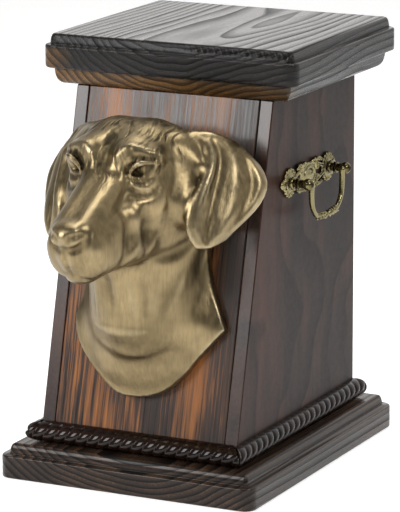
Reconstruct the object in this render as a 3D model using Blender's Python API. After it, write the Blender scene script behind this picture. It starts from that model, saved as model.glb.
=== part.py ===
"""Pet cremation urn: a tapering wooden box on a moulded base, with a lift-off lid, rope mouldings,
swinging brass side handles and a cast dog's head on its sloping front. Metres, +Z up.

The origin is the centre of the underside. +X is the urn's right as seen from the front, -Y is its front.
"""

import math

import bmesh
import bpy
import numpy as np
from mathutils import Vector

# Box
BODY_WIDTH = 0.140
BODY_RISE = 0.225
FRONT_FOOT_Y = -0.092
FRONT_TOP_Y = -0.036
BACK_Y = 0.090
SIDE_THICKNESS = 0.009
PANEL_THICKNESS = 0.009
BOARD_ARRIS = 0.0006
FIT_GAP = 0.0003

# Base board
BASE_THICKNESS = 0.022
BASE_SIDE_MARGIN = 0.0205
BASE_FRONT_MARGIN = 0.020
BASE_BACK_MARGIN = 0.022
BASE_BAND = 0.015
BASE_STEP = 0.0052
BASE_OVOLO = 0.0034
BOARD_CORNER = 0.008
BOARD_EDGE = 0.0008

# Lid
LID_THICKNESS = 0.033
LID_SIDE_OVERHANG = 0.020
LID_FRONT_OVERHANG = 0.012
LID_BACK_OVERHANG = 0.025
LID_UNDER_RISE = 0.011
LID_UNDER_STEP = 0.0058
LID_UNDER_OVOLO = 0.0056
LID_BAND = 0.015
LID_TOP_STEP = 0.0034
LID_BEAD = 0.0028
PLUG_DEPTH = 0.006
PLUG_CLEARANCE = 0.0008
PLUG_CORNER = 0.002

# Rope mouldings
ROPE_HEIGHT = 0.013
ROPE_REACH = 0.0072
ROPE_PITCH = 0.008
ROPE_GROOVE = 0.0016
ROPE_LEAN = 0.0065

# Handles
HANDLE_Y = 0.015
HANDLE_Z = 0.190
POST_SPACING = 0.058
POST_REACH = 0.014
POST_NECK_RADIUS = 0.0026
POST_COLLAR_RADIUS = 0.0042
BALL_RADIUS = 0.0038
PIN_RADIUS = 0.0011
PIN_CLEARANCE = 0.0003
PIN_REACH = 0.0026
BAIL_DROP = 0.025
BAIL_WIRE = 0.0019
BAIL_BAR_SHARE = 0.60
BAIL_TRIANGLES = 400
PLATE_LENGTH = 0.084
PLATE_PARTS = 84
WIRE_PARTS = 1.9
PLATE_THICKNESS = 0.0022
ROSETTE_CROWN = 0.0006
PLATE_TRIANGLES = 440

# Cast dog's head. Its forms below are in parts of a relief that is CAST_PARTS high.
RELIEF_HEIGHT = 0.186
RELIEF_FOOT = 0.036
CAST_PARTS = 186.0
HEAD_TURN = math.radians(2)
HEAD_DROP = math.radians(41)
BRIDGE = (-3.1, 180.1, 75.7)
CAST_GRAIN = 2.0
SLAB_SOFTNESS = 6
HEAD_TRIANGLES = 3740

WOOD_COLOUR = (0.045, 0.022, 0.014)
BRONZE_COLOUR = (0.30, 0.23, 0.12)
BRASS_COLOUR = (0.42, 0.31, 0.11)

SLOPE_RUN = (FRONT_TOP_Y - FRONT_FOOT_Y) / BODY_RISE
HALF_WIDTH = BODY_WIDTH / 2
INNER_HALF = HALF_WIDTH - SIDE_THICKNESS
WALL_FOOT_Z = BASE_THICKNESS + FIT_GAP
WALL_TOP_Z = BASE_THICKNESS + BODY_RISE - FIT_GAP
LID_Z = BASE_THICKNESS + BODY_RISE


def clear_scene():
    for obj in list(bpy.data.objects):
        bpy.data.objects.remove(obj, do_unlink=True)


def make_material(name, colour, metallic, roughness):
    material = bpy.data.materials.new(name)
    material.use_nodes = True
    shader = material.node_tree.nodes["Principled BSDF"]
    shader.inputs["Base Color"].default_value = (*colour, 1)
    shader.inputs["Metallic"].default_value = metallic
    shader.inputs["Roughness"].default_value = roughness
    return material


def add_object(name, mesh, material, parent=None, smooth_angle=40):
    obj = bpy.data.objects.new(name, mesh)
    bpy.context.scene.collection.objects.link(obj)
    mesh.materials.append(material)
    mesh.shade_smooth()
    mesh.set_sharp_from_angle(angle=math.radians(smooth_angle))
    obj.parent = parent
    return obj


def mesh_from(name, points, faces):
    mesh = bpy.data.meshes.new(name)
    mesh.from_pydata([tuple(p) for p in points], [], [tuple(f) for f in faces])
    mesh.validate()
    bm = bmesh.new()
    bm.from_mesh(mesh)
    bmesh.ops.recalc_face_normals(bm, faces=bm.faces)
    bm.to_mesh(mesh)
    bm.free()
    return mesh


# Boards with a moulded edge


def rounded_ring(box, inset, z, corner=BOARD_CORNER, steps=3):
    """Points round a box (x0, x1, y0, y1) drawn in by an inset, its corners kept concentric."""
    x0, x1, y0, y1 = box
    radius = max(corner - inset, BOARD_EDGE)
    centres = (
        (x1 - inset - radius, y1 - inset - radius, 0),
        (x0 + inset + radius, y1 - inset - radius, 90),
        (x0 + inset + radius, y0 + inset + radius, 180),
        (x1 - inset - radius, y0 + inset + radius, 270),
    )
    ring = []
    for cx, cy, start in centres:
        for i in range(steps + 1):
            a = math.radians(start + 90 * i / steps)
            ring.append((cx + radius * math.cos(a), cy + radius * math.sin(a), z))
    return ring


def loft(name, rings):
    """A closed solid through rings of equal length, capped at both ends."""
    count = len(rings[0])
    points = [p for ring in rings for p in ring]
    faces = [tuple(reversed(range(count)))]
    for r in range(len(rings) - 1):
        for i in range(count):
            j = (i + 1) % count
            faces.append((r * count + i, r * count + j, (r + 1) * count + j, (r + 1) * count + i))
    last = (len(rings) - 1) * count
    faces.append(tuple(range(last, last + count)))
    return mesh_from(name, points, faces)


def quarter_round(inset, z, run, rise, steps=3):
    """(inset, z) points of a convex moulding that starts upright and turns inwards."""
    angles = (math.pi / 2 * i / steps for i in range(steps + 1))
    return [(inset + run * (1 - math.cos(a)), z + rise * math.sin(a)) for a in angles]


def make_base_board(wood):
    box = (
        -HALF_WIDTH - BASE_SIDE_MARGIN,
        HALF_WIDTH + BASE_SIDE_MARGIN,
        FRONT_FOOT_Y - BASE_FRONT_MARGIN,
        BACK_Y + BASE_BACK_MARGIN,
    )
    profile = [(BOARD_EDGE, 0), (0, BOARD_EDGE), (0, BASE_BAND - BOARD_EDGE), (BOARD_EDGE, BASE_BAND)]
    profile += quarter_round(BASE_STEP, BASE_BAND, BASE_OVOLO, BASE_THICKNESS - BASE_BAND)
    mesh = loft("base_board", [rounded_ring(box, inset, z) for inset, z in profile])
    return add_object("base_board", mesh, wood)


def make_lid(wood):
    box = (
        -HALF_WIDTH - LID_SIDE_OVERHANG,
        HALF_WIDTH + LID_SIDE_OVERHANG,
        FRONT_TOP_Y - LID_FRONT_OVERHANG,
        BACK_Y + LID_BACK_OVERHANG,
    )
    band_foot = LID_Z + LID_UNDER_RISE
    band_top = band_foot + LID_BAND
    under = quarter_round(LID_UNDER_STEP, 0, LID_UNDER_OVOLO, LID_UNDER_RISE)
    profile = [(inset, band_foot - drop) for inset, drop in reversed(under)]
    profile += [(BOARD_EDGE, band_foot), (0, band_foot + BOARD_EDGE)]
    profile += [(0, band_top - BOARD_EDGE), (BOARD_EDGE, band_top)]
    profile += quarter_round(LID_TOP_STEP, band_top, LID_BEAD, LID_Z + LID_THICKNESS - band_top)
    wall = PANEL_THICKNESS / math.cos(math.atan(SLOPE_RUN))
    plug = (
        -INNER_HALF + PLUG_CLEARANCE,
        INNER_HALF - PLUG_CLEARANCE,
        FRONT_TOP_Y + wall + PLUG_CLEARANCE,
        BACK_Y - PANEL_THICKNESS - PLUG_CLEARANCE,
    )
    rings = [rounded_ring(plug, 0, z, PLUG_CORNER) for z in (LID_Z - PLUG_DEPTH, LID_Z)]
    rings += [rounded_ring(box, inset, z) for inset, z in profile]
    return add_object("lid", loft("lid", rings), wood)


# Flat boards of the box


def board_from(name, outline, x0, x1, wood):
    """A board: an outline of (y, z) points, extruded from x0 to x1, with its arrises eased."""
    rings = [[(x, y, z) for y, z in outline] for x in (x0, x1)]
    obj = add_object(name, loft(name, rings), wood)
    bevel = obj.modifiers.new("eased arrises", "BEVEL")
    bevel.width = BOARD_ARRIS
    bevel.segments = 1
    bevel.limit_method = "ANGLE"
    bevel.angle_limit = math.radians(30)
    bevel.show_render = bevel.show_viewport
    return obj


def front_y(z):
    """Where the front face lies at a height."""
    return FRONT_FOOT_Y + SLOPE_RUN * (z - BASE_THICKNESS)


def make_box(wood):
    side = [
        (front_y(WALL_FOOT_Z), WALL_FOOT_Z),
        (BACK_Y, WALL_FOOT_Z),
        (BACK_Y, WALL_TOP_Z),
        (front_y(WALL_TOP_Z), WALL_TOP_Z),
    ]
    board_from("side_board_right", side, INNER_HALF, HALF_WIDTH, wood)
    board_from("side_board_left", side, -HALF_WIDTH, -INNER_HALF, wood)
    depth = PANEL_THICKNESS / math.cos(math.atan(SLOPE_RUN))
    front = [
        (front_y(WALL_FOOT_Z), WALL_FOOT_Z),
        (front_y(WALL_FOOT_Z) + depth, WALL_FOOT_Z),
        (front_y(WALL_TOP_Z) + depth, WALL_TOP_Z),
        (front_y(WALL_TOP_Z), WALL_TOP_Z),
    ]
    fit_half = INNER_HALF - FIT_GAP
    board_from("front_panel", front, -fit_half, fit_half, wood)
    back = [
        (BACK_Y - PANEL_THICKNESS, WALL_FOOT_Z),
        (BACK_Y, WALL_FOOT_Z),
        (BACK_Y, WALL_TOP_Z),
        (BACK_Y - PANEL_THICKNESS, WALL_TOP_Z),
    ]
    board_from("back_panel", back, -fit_half, fit_half, wood)


# Rope mouldings


def rope_mesh(name, half_length, lean_back, steps=5):
    """A half-round rope along X on the plane y = 0, bulging to -Y, its ends mitred at 45 degrees."""
    middle = ROPE_HEIGHT / 2
    spare = 2 * ROPE_REACH
    count = 2 * math.ceil((half_length + spare) / ROPE_PITCH) + 1
    columns = []
    for c in range(-count, count + 1):
        groove = ROPE_GROOVE if c % 2 else 0.0
        column = []
        for s in range(steps + 1):
            angle = math.pi * s / steps
            swell = 1 - groove / ROPE_REACH * math.sin(angle)
            rise = middle - (middle - groove / 2 * math.sin(angle)) * math.cos(angle)
            x = c * ROPE_PITCH / 2 + ROPE_LEAN * (s / steps - 0.5)
            column.append((x, -ROPE_REACH * swell * math.sin(angle) + lean_back * rise, rise))
        columns.append(column)
    mesh = loft(name, columns)
    bm = bmesh.new()
    bm.from_mesh(mesh)
    for end in (1, -1):
        cut = bmesh.ops.bisect_plane(
            bm,
            geom=bm.verts[:] + bm.edges[:] + bm.faces[:],
            dist=1e-7,
            plane_co=(end * (half_length - FIT_GAP / 2), 0, 0),
            plane_no=(end, 1, 0),
            clear_outer=True,
        )
        rim = [e for e in cut["geom_cut"] if isinstance(e, bmesh.types.BMEdge)]
        bmesh.ops.contextual_create(bm, geom=rim)
    bmesh.ops.remove_doubles(bm, verts=bm.verts, dist=2e-6)
    bmesh.ops.recalc_face_normals(bm, faces=bm.faces)
    bm.to_mesh(mesh)
    bm.free()
    return mesh


def make_ropes(wood):
    half_depth = (BACK_Y - FRONT_FOOT_Y) / 2
    middle_y = (BACK_Y + FRONT_FOOT_Y) / 2
    seats = (
        ("front", half_depth, 0, HALF_WIDTH, SLOPE_RUN),
        ("right", HALF_WIDTH, 90, half_depth, 0),
        ("back", half_depth, 180, HALF_WIDTH, 0),
        ("left", HALF_WIDTH, 270, half_depth, 0),
    )
    for side, offset, turn, half_length, lean_back in seats:
        name = f"rope_moulding_{side}"
        obj = add_object(name, rope_mesh(name, half_length, lean_back), wood, smooth_angle=60)
        angle = math.radians(turn)
        reach = offset + FIT_GAP
        obj.location = (reach * math.sin(angle), middle_y - reach * math.cos(angle), WALL_FOOT_Z)
        obj.rotation_euler.z = angle


# Cast work is modelled as clay: a grid of distances, built up by blended forms and then skinned


def line_distance(grid, start, end):
    """Distance from each grid point to a line, and the share of the line where it is nearest."""
    along = np.subtract(end, start)
    offset = [g - s for g, s in zip(grid, start)]
    share = np.clip(sum(a * o for a, o in zip(along, offset)) / max(along @ along, 1e-9), 0, 1)
    return np.sqrt(sum((o - share * a) ** 2 for a, o in zip(along, offset))), share


def rod_distance(grid, start, end, radius_start, radius_end):
    """Distance from each grid point to a tapered rod with round ends."""
    distance, share = line_distance(grid, start, end)
    return distance - radius_start - (radius_end - radius_start) * share


class Clay:
    """Distances to a surface that is built up from blended forms. Negative is inside."""

    def __init__(self, low, high, grain):
        self.grain = grain
        self.low = np.array(low, float)
        self.axes = [np.arange(a, b + grain / 2, grain) for a, b in zip(low, high)]
        self.depth = np.full([len(axis) for axis in self.axes], 60.0)

    def window(self, low, high):
        """The part of the grid round a form, and its coordinates."""
        part = []
        for axis, first, a, b in zip(self.axes, self.low, low, high):
            start = int(np.clip(math.floor((a - first) / self.grain), 0, len(axis)))
            stop = int(np.clip(math.ceil((b - first) / self.grain) + 1, start, len(axis)))
            part.append(slice(start, stop))
        grid = np.meshgrid(*[axis[p] for axis, p in zip(self.axes, part)], indexing="ij", sparse=True)
        return tuple(part), grid

    def merge(self, part, distance, blend, carve):
        """Adds a form to the clay, or carves it out, with a fillet of about the blend's size."""
        here = self.depth[part]
        sign = -1 if carve else 1
        other = sign * here
        fillet = np.maximum(blend - np.abs(other - distance), 0) ** 2 / (4 * max(blend, 1e-6))
        self.depth[part] = sign * (np.minimum(other, distance) - fillet)

    def ball(self, centre, radii, axes, blend, carve=False):
        """An ellipsoid with its radii along three axes."""
        reach = max(radii) + 18
        part, grid = self.window(np.subtract(centre, reach), np.add(centre, reach))
        offset = [g - c for g, c in zip(grid, centre)]
        local = [sum(a * o for a, o in zip(axis, offset)) for axis in axes]
        near = np.sqrt(sum((v / r) ** 2 for v, r in zip(local, radii)))
        far = np.sqrt(sum((v / r**2) ** 2 for v, r in zip(local, radii)))
        self.merge(part, near * (near - 1) / np.maximum(far, 1e-6), blend, carve)

    def limb(self, start, end, radius_start, radius_end, blend, carve=False):
        """A tapered rod with round ends."""
        reach = max(radius_start, radius_end) + 18
        part, grid = self.window(np.minimum(start, end) - reach, np.maximum(start, end) + reach)
        self.merge(part, rod_distance(grid, start, end, radius_start, radius_end), blend, carve)

    def sheet(self, rows, blend, carve=False):
        """Rods side by side, merged as one form. Each row holds (x, y, z, radius) across the sheet."""
        reach = rows[..., 3].max() + 12
        places = rows[..., :3].reshape(-1, 3)
        part, grid = self.window(places.min(axis=0) - reach, places.max(axis=0) + reach)
        distance = np.full(self.depth[part].shape, 60.0)
        for first, second in zip(rows[:-1], rows[1:]):
            for a, b in zip(first, second):
                distance = np.minimum(distance, rod_distance(grid, a[:3], b[:3], a[3], b[3]))
        self.merge(part, distance, blend, carve)

    def slab(self, outline, rim, rise, run, blend):
        """A low plate inside an outline of (across, up) points, thin at its rim and thicker further in."""
        outline = np.array(outline, float)
        low, high = outline.min(axis=0) - 18, outline.max(axis=0) + 18
        part, grid = self.window((*low, -9), (*high, rim + rise + 18))
        across, up, out = grid
        nearest, inside = np.inf, False
        for a, b in zip(outline, np.roll(outline, -1, axis=0)):
            way = b - a
            share = np.clip(((across - a[0]) * way[0] + (up - a[1]) * way[1]) / (way @ way), 0, 1)
            away = np.hypot(across - a[0] - share * way[0], up - a[1] - share * way[1])
            nearest = np.minimum(nearest, away)
            if way[1]:
                beyond = across < a[0] + way[0] * (up - a[1]) / way[1]
                inside = inside ^ (((a[1] > up) != (b[1] > up)) & beyond)
        edge = np.where(inside, -nearest, nearest)
        within = np.maximum(-edge, 0)
        for _ in range(round((SLAB_SOFTNESS / self.grain) ** 2)):
            within = (within + np.roll(within, 1, 0) + np.roll(within, -1, 0)) / 3
            within = (within + np.roll(within, 1, 1) + np.roll(within, -1, 1)) / 3
        top = out - rim - rise * (1 - np.exp(-within / run))
        self.merge(part, np.maximum(edge, top), blend, False)

    def stroke(self, course, width, height):
        """Raises the surface softly along a course, or sinks it where the height is negative."""
        places = np.array([self.on_surface(place) for place in course])
        reach = 2.5 * width + 2 * self.grain
        part, grid = self.window(places.min(axis=0) - reach, places.max(axis=0) + reach)
        lift = np.zeros(self.depth[part].shape)
        count = len(places) - 1
        for i, (a, b) in enumerate(zip(places[:-1], places[1:])):
            away, share = line_distance(grid, a, b)
            full = 1 - STROKE_TAPER * (2 * (i + share) / count - 1) ** 2
            lift = np.maximum(lift, full * np.exp(-((away / (width * (0.5 + 0.5 * full))) ** 2)))
        self.depth[part] -= height * lift

    def depth_at(self, place):
        """Depth and the way out of the clay at a place, read between grid points."""
        spot = np.clip((np.asarray(place) - self.low) / self.grain, 1, np.array(self.depth.shape) - 3)
        cell = spot.astype(int)
        share = spot - cell
        block = self.depth[tuple(slice(c, c + 2) for c in cell)]
        weights = [np.array((1 - x, x)) for x in share]
        slopes = np.array((-1.0, 1.0))
        value = np.einsum("ijk,i,j,k", block, *weights)
        turned = [weights[:a] + [slopes] + weights[a + 1 :] for a in range(3)]
        way = [np.einsum("ijk,i,j,k", block, *each) for each in turned]
        return value, np.array(way) / max(np.linalg.norm(way), 1e-6)

    def on_surface(self, place):
        """The place, moved straight onto the clay's surface."""
        for _ in range(8):
            value, way = self.depth_at(place)
            place = place - np.clip(value, -3, 3) * way
        return place

    def close_pinches(self):
        """Fills grid squares whose opposite corners alone are inside, where the skin would touch itself."""
        for _ in range(12):
            found = 0
            for axis in range(3):
                planes = np.moveaxis(self.depth, axis, 0)
                a, b = planes[:, :-1, :-1], planes[:, 1:, 1:]
                c, d = planes[:, 1:, :-1], planes[:, :-1, 1:]
                for first, second, third, fourth in ((a, b, c, d), (c, d, a, b)):
                    pinched = (first < 0) & (second < 0) & (third >= 0) & (fourth >= 0)
                    third[pinched] = -0.3 * self.grain
                    found += pinched.sum()
            if not found:
                return

    def skin(self):
        """Points and four-sided faces on the zero surface, one point in each cell that it crosses."""
        self.close_pinches()
        inside = self.depth < 0
        cells = [n - 1 for n in self.depth.shape]
        total = np.zeros(cells + [3])
        hits = np.zeros(cells)
        walls = []
        for axis in range(3):
            ahead = [slice(None)] * 3
            behind = [slice(None)] * 3
            ahead[axis], behind[axis] = slice(1, None), slice(0, -1)
            start = np.argwhere(inside[tuple(ahead)] != inside[tuple(behind)])
            stop = start.copy()
            stop[:, axis] += 1
            a, b = self.depth[tuple(start.T)], self.depth[tuple(stop.T)]
            crossing = start.astype(float)
            crossing[:, axis] += a / (a - b)
            across = [k for k in range(3) if k != axis]
            around = []
            for i, j in ((0, 0), (0, -1), (-1, -1), (-1, 0)):
                cell = start.copy()
                cell[:, across[0]] += i
                cell[:, across[1]] += j
                around.append(cell)
                np.add.at(total, tuple(cell.T), crossing)
                np.add.at(hits, tuple(cell.T), 1)
            walls.append((around, (a < 0) == (axis != 1)))
        used = hits > 0
        number = np.full(cells, -1)
        number[used] = np.arange(used.sum())
        points = self.low + self.grain * total[used] / hits[used][:, None]
        faces = []
        for around, turned in walls:
            ring = np.stack([number[tuple(cell.T)] for cell in around], axis=1)
            ring[turned] = ring[turned][:, ::-1]
            faces.append(ring)
        return points, np.concatenate(faces)


def smooth_course(points, count):
    """Points evenly along a smooth curve through the given ones."""
    given = np.asarray(points, float)
    spans = len(given) - 1
    padded = np.vstack([2 * given[0] - given[1], given, 2 * given[-1] - given[-2]])
    course = []
    for place in np.linspace(0, spans, count):
        i = min(int(place), spans - 1)
        x = place - i
        a, b, c, d = padded[i : i + 4]
        bend = (2 * a - 5 * b + 4 * c - d) * x**2 + (3 * b - a - 3 * c + d) * x**3
        course.append(0.5 * (2 * b + (c - a) * x + bend))
    return np.array(course)


def thinned(name, points, faces, triangles, cut=None):
    """A mesh of about the wanted number of triangles. A cut (point, normal) trims it flat."""
    rough = mesh_from(name + "_rough", points, faces)
    holder = bpy.data.objects.new(name + "_rough", rough)
    bpy.context.scene.collection.objects.link(holder)
    decimate = holder.modifiers.new("thinned", "DECIMATE")
    decimate.ratio = min(1.0, triangles / (2.0 * len(faces)))
    graph = bpy.context.evaluated_depsgraph_get()
    mesh = bpy.data.meshes.new_from_object(holder.evaluated_get(graph))
    bpy.data.objects.remove(holder, do_unlink=True)
    if cut:
        bm = bmesh.new()
        bm.from_mesh(mesh)
        trimmed = bmesh.ops.bisect_plane(
            bm,
            geom=bm.verts[:] + bm.edges[:] + bm.faces[:],
            dist=1e-6,
            plane_co=cut[0],
            plane_no=cut[1],
            clear_outer=True,
        )
        rim = [e for e in trimmed["geom_cut"] if isinstance(e, bmesh.types.BMEdge)]
        bmesh.ops.holes_fill(bm, edges=rim, sides=0)
        bmesh.ops.triangulate(bm, faces=bm.faces)
        bmesh.ops.recalc_face_normals(bm, faces=bm.faces)
        bm.to_mesh(mesh)
        bm.free()
    return mesh


# The head's own axes: to its left side, forwards along the muzzle and up through the brow
TURN_COS, TURN_SIN = math.cos(HEAD_TURN), math.sin(HEAD_TURN)
DROP_COS, DROP_SIN = math.cos(HEAD_DROP), math.sin(HEAD_DROP)
HEAD_AXES = np.array(
    [
        (TURN_COS, 0, TURN_SIN),
        (-TURN_SIN * DROP_COS, -DROP_SIN, TURN_COS * DROP_COS),
        (-TURN_SIN * DROP_SIN, DROP_COS, TURN_COS * DROP_SIN),
    ]
)
PANEL_AXES = np.eye(3)

# Forms of the head on both sides of its middle plane: (side, forward, up), radii, blend
HEAD_BALLS = (
    ("skull", (12, -27, -17), (23, 30, 26), 10),
    ("brow", (13, -10, 0), (14, 13, 12.5), 9),
    ("outer brow", (25, -11, 0), (8, 7, 6), 7),
    ("cheek", (21, -7, -26), (13, 24, 17), 9),
    ("jaw muscle", (18, -5, -43), (14, 21, 16), 8),
)
HEAD_LIMBS = (
    ("ear root", (26, -40, -14), (44, -46, -17), 13, 7, 6),
    ("front of the ear root", (30, -35, -12), (47, -30, -20), 10, 5, 7),
    ("ear base", (30, -34, -18), (37, -12, -32), 14, 10, 5),
    ("under the ear", (28, -34, -24), (40, -10, -40), 13, 9, 8),
    ("bridge of the nose", (6.5, 4, -9), (6, 52, -9.5), 10, 8, 7),
    ("upper lip", (13, 14, -26), (8.5, 54, -20), 13, 10.5, 7),
    ("hanging lip", (17, 20, -44), (9, 53, -31), 11.5, 11.5, 8),
    ("lip corner", (20, 14, -46), (16, 24, -44), 8, 9, 5),
    ("lower jaw", (2, 20, -48), (0, 56, -35), 10, 9, 8),
)
NOSE_BALLS = (
    ("middle of the lip", (0, 57, -22), (9, 12, 12), 4),
    ("nose", (0, 58.5, -8), (9, 9.5, 7.5), 2),
    ("nostril wing", (6, 58.5, -7.5), (4.8, 8.5, 6.4), 2),
)
EYE_SOCKET = ((24, 3, -0.5), (8.5, 6, 6.5), 3)
EYEBALL = ((23.3, -6.8, -1.1), (7.4, 7.4, 7.4), 0.3)

# Lids as thin rods round the opening of the eye: (side, forward, up, radius)
LIDS = (
    (
        (16.5, 4.4, -3.4, 1.2), (19.5, 2.6, 1.6, 1.6), (24.5, 0.6, 4.4, 2.0),
        (29, -3.0, 3.2, 1.7), (32.5, -7.2, -0.4, 1.1),
    ),
    (
        (16.5, 4.4, -3.4, 1.2), (19.8, 3.0, -5.6, 1.5), (24, 1.3, -6.8, 1.6),
        (28.6, -2.4, -5.0, 1.5), (32.5, -7.2, -0.4, 1.1),
    ),
)

# Courses of raised and sunk strokes: (side, forward, up) points, width, height over the surface;
# every stroke thins towards its ends by this share
STROKE_TAPER = 0.7
STROKES = (
    (
        "brow ridge",
        ((6.5, 5, 4.5), (9, 1, 10), (15, -4, 14), (22, -6, 13), (29, -8, 9), (34, -12, 4)), 3.2, 1.7,
    ),
    (
        "crease over the lid",
        ((14.5, 4, -1), (17.5, 1, 5.5), (24.5, -2, 8.6), (30.5, -4.5, 6.6), (35, -7, 2)), 1.8, -1.5,
    ),
    ("eye bag", ((17, 5, -9), (22, 5, -11.5), (28, 2.5, -10.5), (33, -2, -6.5)), 2.6, 1.5),
    ("under the eye bag", ((14, 7, -9), (19, 7, -15.5), (26, 5, -17.5), (33, 0, -13)), 2.4, -1.7),
    ("beside the bridge", ((14, 4, -4), (13, 11, -9), (13, 22, -13), (13, 34, -13)), 3, -1.3),
    ("nostril", ((3.8, 68, -8), (5.5, 67.5, -4.8), (8, 65, -4.2), (10.5, 60, -6.5)), 2.0, -3.0),
    ("under the nose wing", ((2, 68, -14), (6.5, 66.5, -14.5), (10.5, 61, -13.5), (12, 54, -9)), 2.0, -0.9),
    (
        "edge of the lip",
        ((3, 70, -32), (8, 67, -38), (13, 60, -43), (19, 48, -50), (23, 34, -55), (26, 24, -59)), 1.8, -1.6,
    ),
    ("front cheek fold", ((18, 25, -13), (22, 29, -24), (24, 37, -34), (22, 48, -42)), 4.0, -2.4),
    ("rear cheek fold", ((26, 12, -22), (29, 17, -34), (29, 25, -47)), 4.0, -2.3),
    ("between the cheek folds", ((21, 19, -18), (26, 23, -29), (27, 32, -40)), 3.6, 1.5),
    ("cheekbone", ((36, -2, -14), (37, 4, -24), (35, 10, -34)), 5, 1.4),
    ("jaw crease", ((26, 18, -58), (32, 6, -62), (36, -6, -64), (38, -18, -64)), 4, -2.5),
)
MIDDLE_STROKES = (
    ("furrow of the brow", ((0, -22, 15.5), (0, -8, 15), (0, 4, 7)), 3.6, -2.6),
    ("groove of the lip", ((0, 68, -10), (0, 69.5, -24), (0, 67, -36)), 1.6, -2.1),
)

# Courses down the neck and over the chest, in panel coordinates: (across, up, out)
NECK_STROKES = (
    ("left strand", ((-20, 114, 48), (-19, 100, 44), (-20, 84, 38)), 3.6, 1.2),
    ("hollow of the throat", ((-7, 114, 52), (-6, 104, 48), (-4, 92, 44)), 4.0, -2.6),
    ("middle strand", ((6, 114, 50), (9, 98, 45), (12, 84, 40)), 4.0, 1.0),
    ("hollow beside it", ((15, 112, 48), (17, 98, 43), (17, 88, 40)), 3.4, -0.8),
    ("right strand", ((24, 112, 46), (23, 98, 42), (21, 84, 38)), 4.0, 0.8),
    ("outer fold", ((42, 118, 30), (37, 104, 34), (29, 88, 34)), 5.0, 1.2),
    ("inside the outer fold", ((34, 116, 36), (30, 102, 37), (25, 90, 37)), 4.5, -0.9),
    ("collar bone", ((-23, 81, 30), (-8, 79.5, 36), (6, 79, 37), (16, 80.5, 34)), 3.4, 1.1),
    ("under the collar bone", ((-20, 73, 26), (-8, 71.5, 31), (6, 71, 32), (16, 72.5, 30)), 5.0, -0.8),
    ("edge of the chest", ((-7, 64.5, 26), (3, 64, 27), (13, 65.5, 25)), 3.4, 0.5),
)

# The cut edge of the bust on the panel, (across, up): down its right side to the corner,
# then round its foot
BUST_SIDE = ((31, 147), (36, 136), (39.5, 124), (44.6, 109), (50.3, 97), (55.4, 85))
BUST_FOOT = (
    (55.4, 85),
    (47.7, 75.6),
    (38.2, 64),
    (31.3, 54.8),
    (21.5, 44.6),
    (11.3, 39),
    (-2, 36.2),
    (-16.5, 38.1),
    (-32.6, 50.9),
    (-45.4, 66),
    (-50.3, 82),
    (-46.5, 96),
    (-44, 112),
    (-38, 140),
)
BUST_RIM = 5.4
BUST_RISE = 15
BUST_RUN = 17

# Ribs of the ear from its front edge to its back edge: (side, forward, up, half thickness)
LEFT_EAR_TUCK = 0.90
LEFT_EAR_SWING = 0.20
EAR_HINGE = 36
EAR_RIBS = (
    (
        (38, -46, -8, 3),
        (47, -42, -13, 3.2),
        (52, -33, -18, 3.0),
        (52, -20, -24, 2.8),
        (49, -6, -32, 2.7),
        (48, 3, -42, 2.7),
        (53, 6, -52, 2.6),
    ),
    (
        (47, -50, -12, 4),
        (55, -44, -19, 3.6),
        (59, -34, -26, 3.0),
        (60, -22, -35, 2.8),
        (61, -11, -43, 2.8),
        (60, -2, -50, 2.6),
        (58, 3, -54, 2.4),
    ),
    (
        (57, -55, -21, 3.6),
        (66, -50, -28, 3.8),
        (71, -42, -36, 3.6),
        (72, -33, -43, 3.4),
        (70, -22, -48, 3),
        (66, -11, -52, 2.6),
        (61, -2, -55, 2.4),
    ),
    (
        (63, -56, -29, 3),
        (71, -53, -35, 3),
        (77, -47, -41, 2.8),
        (77, -40, -46, 2.8),
        (74, -31, -50, 2.6),
        (69, -20, -53, 2.4),
        (64, -8, -56, 2.2),
    ),
)

# Folds along the ear: how far across it they lie at its root and at its tip, width, height
EAR_FOLDS = (
    (0.03, 0.02, 2.6, 1.6),
    (0.19, 0.17, 2.8, -2.9),
    (0.42, 0.46, 4.6, 1.5),
    (0.62, 0.70, 3.4, -1.4),
    (0.82, 0.88, 4.0, 1.2),
)


def at_head(place, side=1):
    """Panel coordinates of a place on the head, mirrored where side is -1."""
    s, f, t = place
    return np.array(BRIDGE) + np.array([side * s, f, t]) @ HEAD_AXES


def model_head(clay):
    for side in (1, -1):
        for _, centre, radii, blend in HEAD_BALLS:
            clay.ball(at_head(centre, side), radii, HEAD_AXES, blend)
    clay.limb((0, 172, 42), (0, 150, 8), 34, 40, 12)
    for side in (1, -1):
        for _, start, end, r_start, r_end, blend in HEAD_LIMBS:
            clay.limb(at_head(start, side), at_head(end, side), r_start, r_end, blend)
    for side in (1, -1):
        for _, centre, radii, blend in NOSE_BALLS:
            clay.ball(at_head(centre, side), radii, HEAD_AXES, blend)


def model_neck(clay):
    clay.limb((0, 150, 26), (0, 92, 3), 35, 38, 8)
    clay.limb((0, 134, 40), (0, 88, 24), 22, 17, 10)
    outline = [*smooth_course(BUST_SIDE, 12), *smooth_course(BUST_FOOT, 40)[1:]]
    clay.slab(outline, BUST_RIM, BUST_RISE, BUST_RUN, 9)
    clay.ball((0, 62, 6), (30, 16, 12), PANEL_AXES, 8)


def model_eyes(clay):
    for side in (1, -1):
        centre, radii, blend = EYE_SOCKET
        clay.ball(at_head(centre, side), radii, HEAD_AXES, blend, carve=True)
        centre, radii, blend = EYEBALL
        clay.ball(at_head(centre, side), radii, HEAD_AXES, blend)
        for lid in LIDS:
            course = smooth_course(lid, 11)
            placed = [[(*at_head(point[:3], side), point[3])] for point in course]
            clay.sheet(np.array(placed), 1.2)


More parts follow.
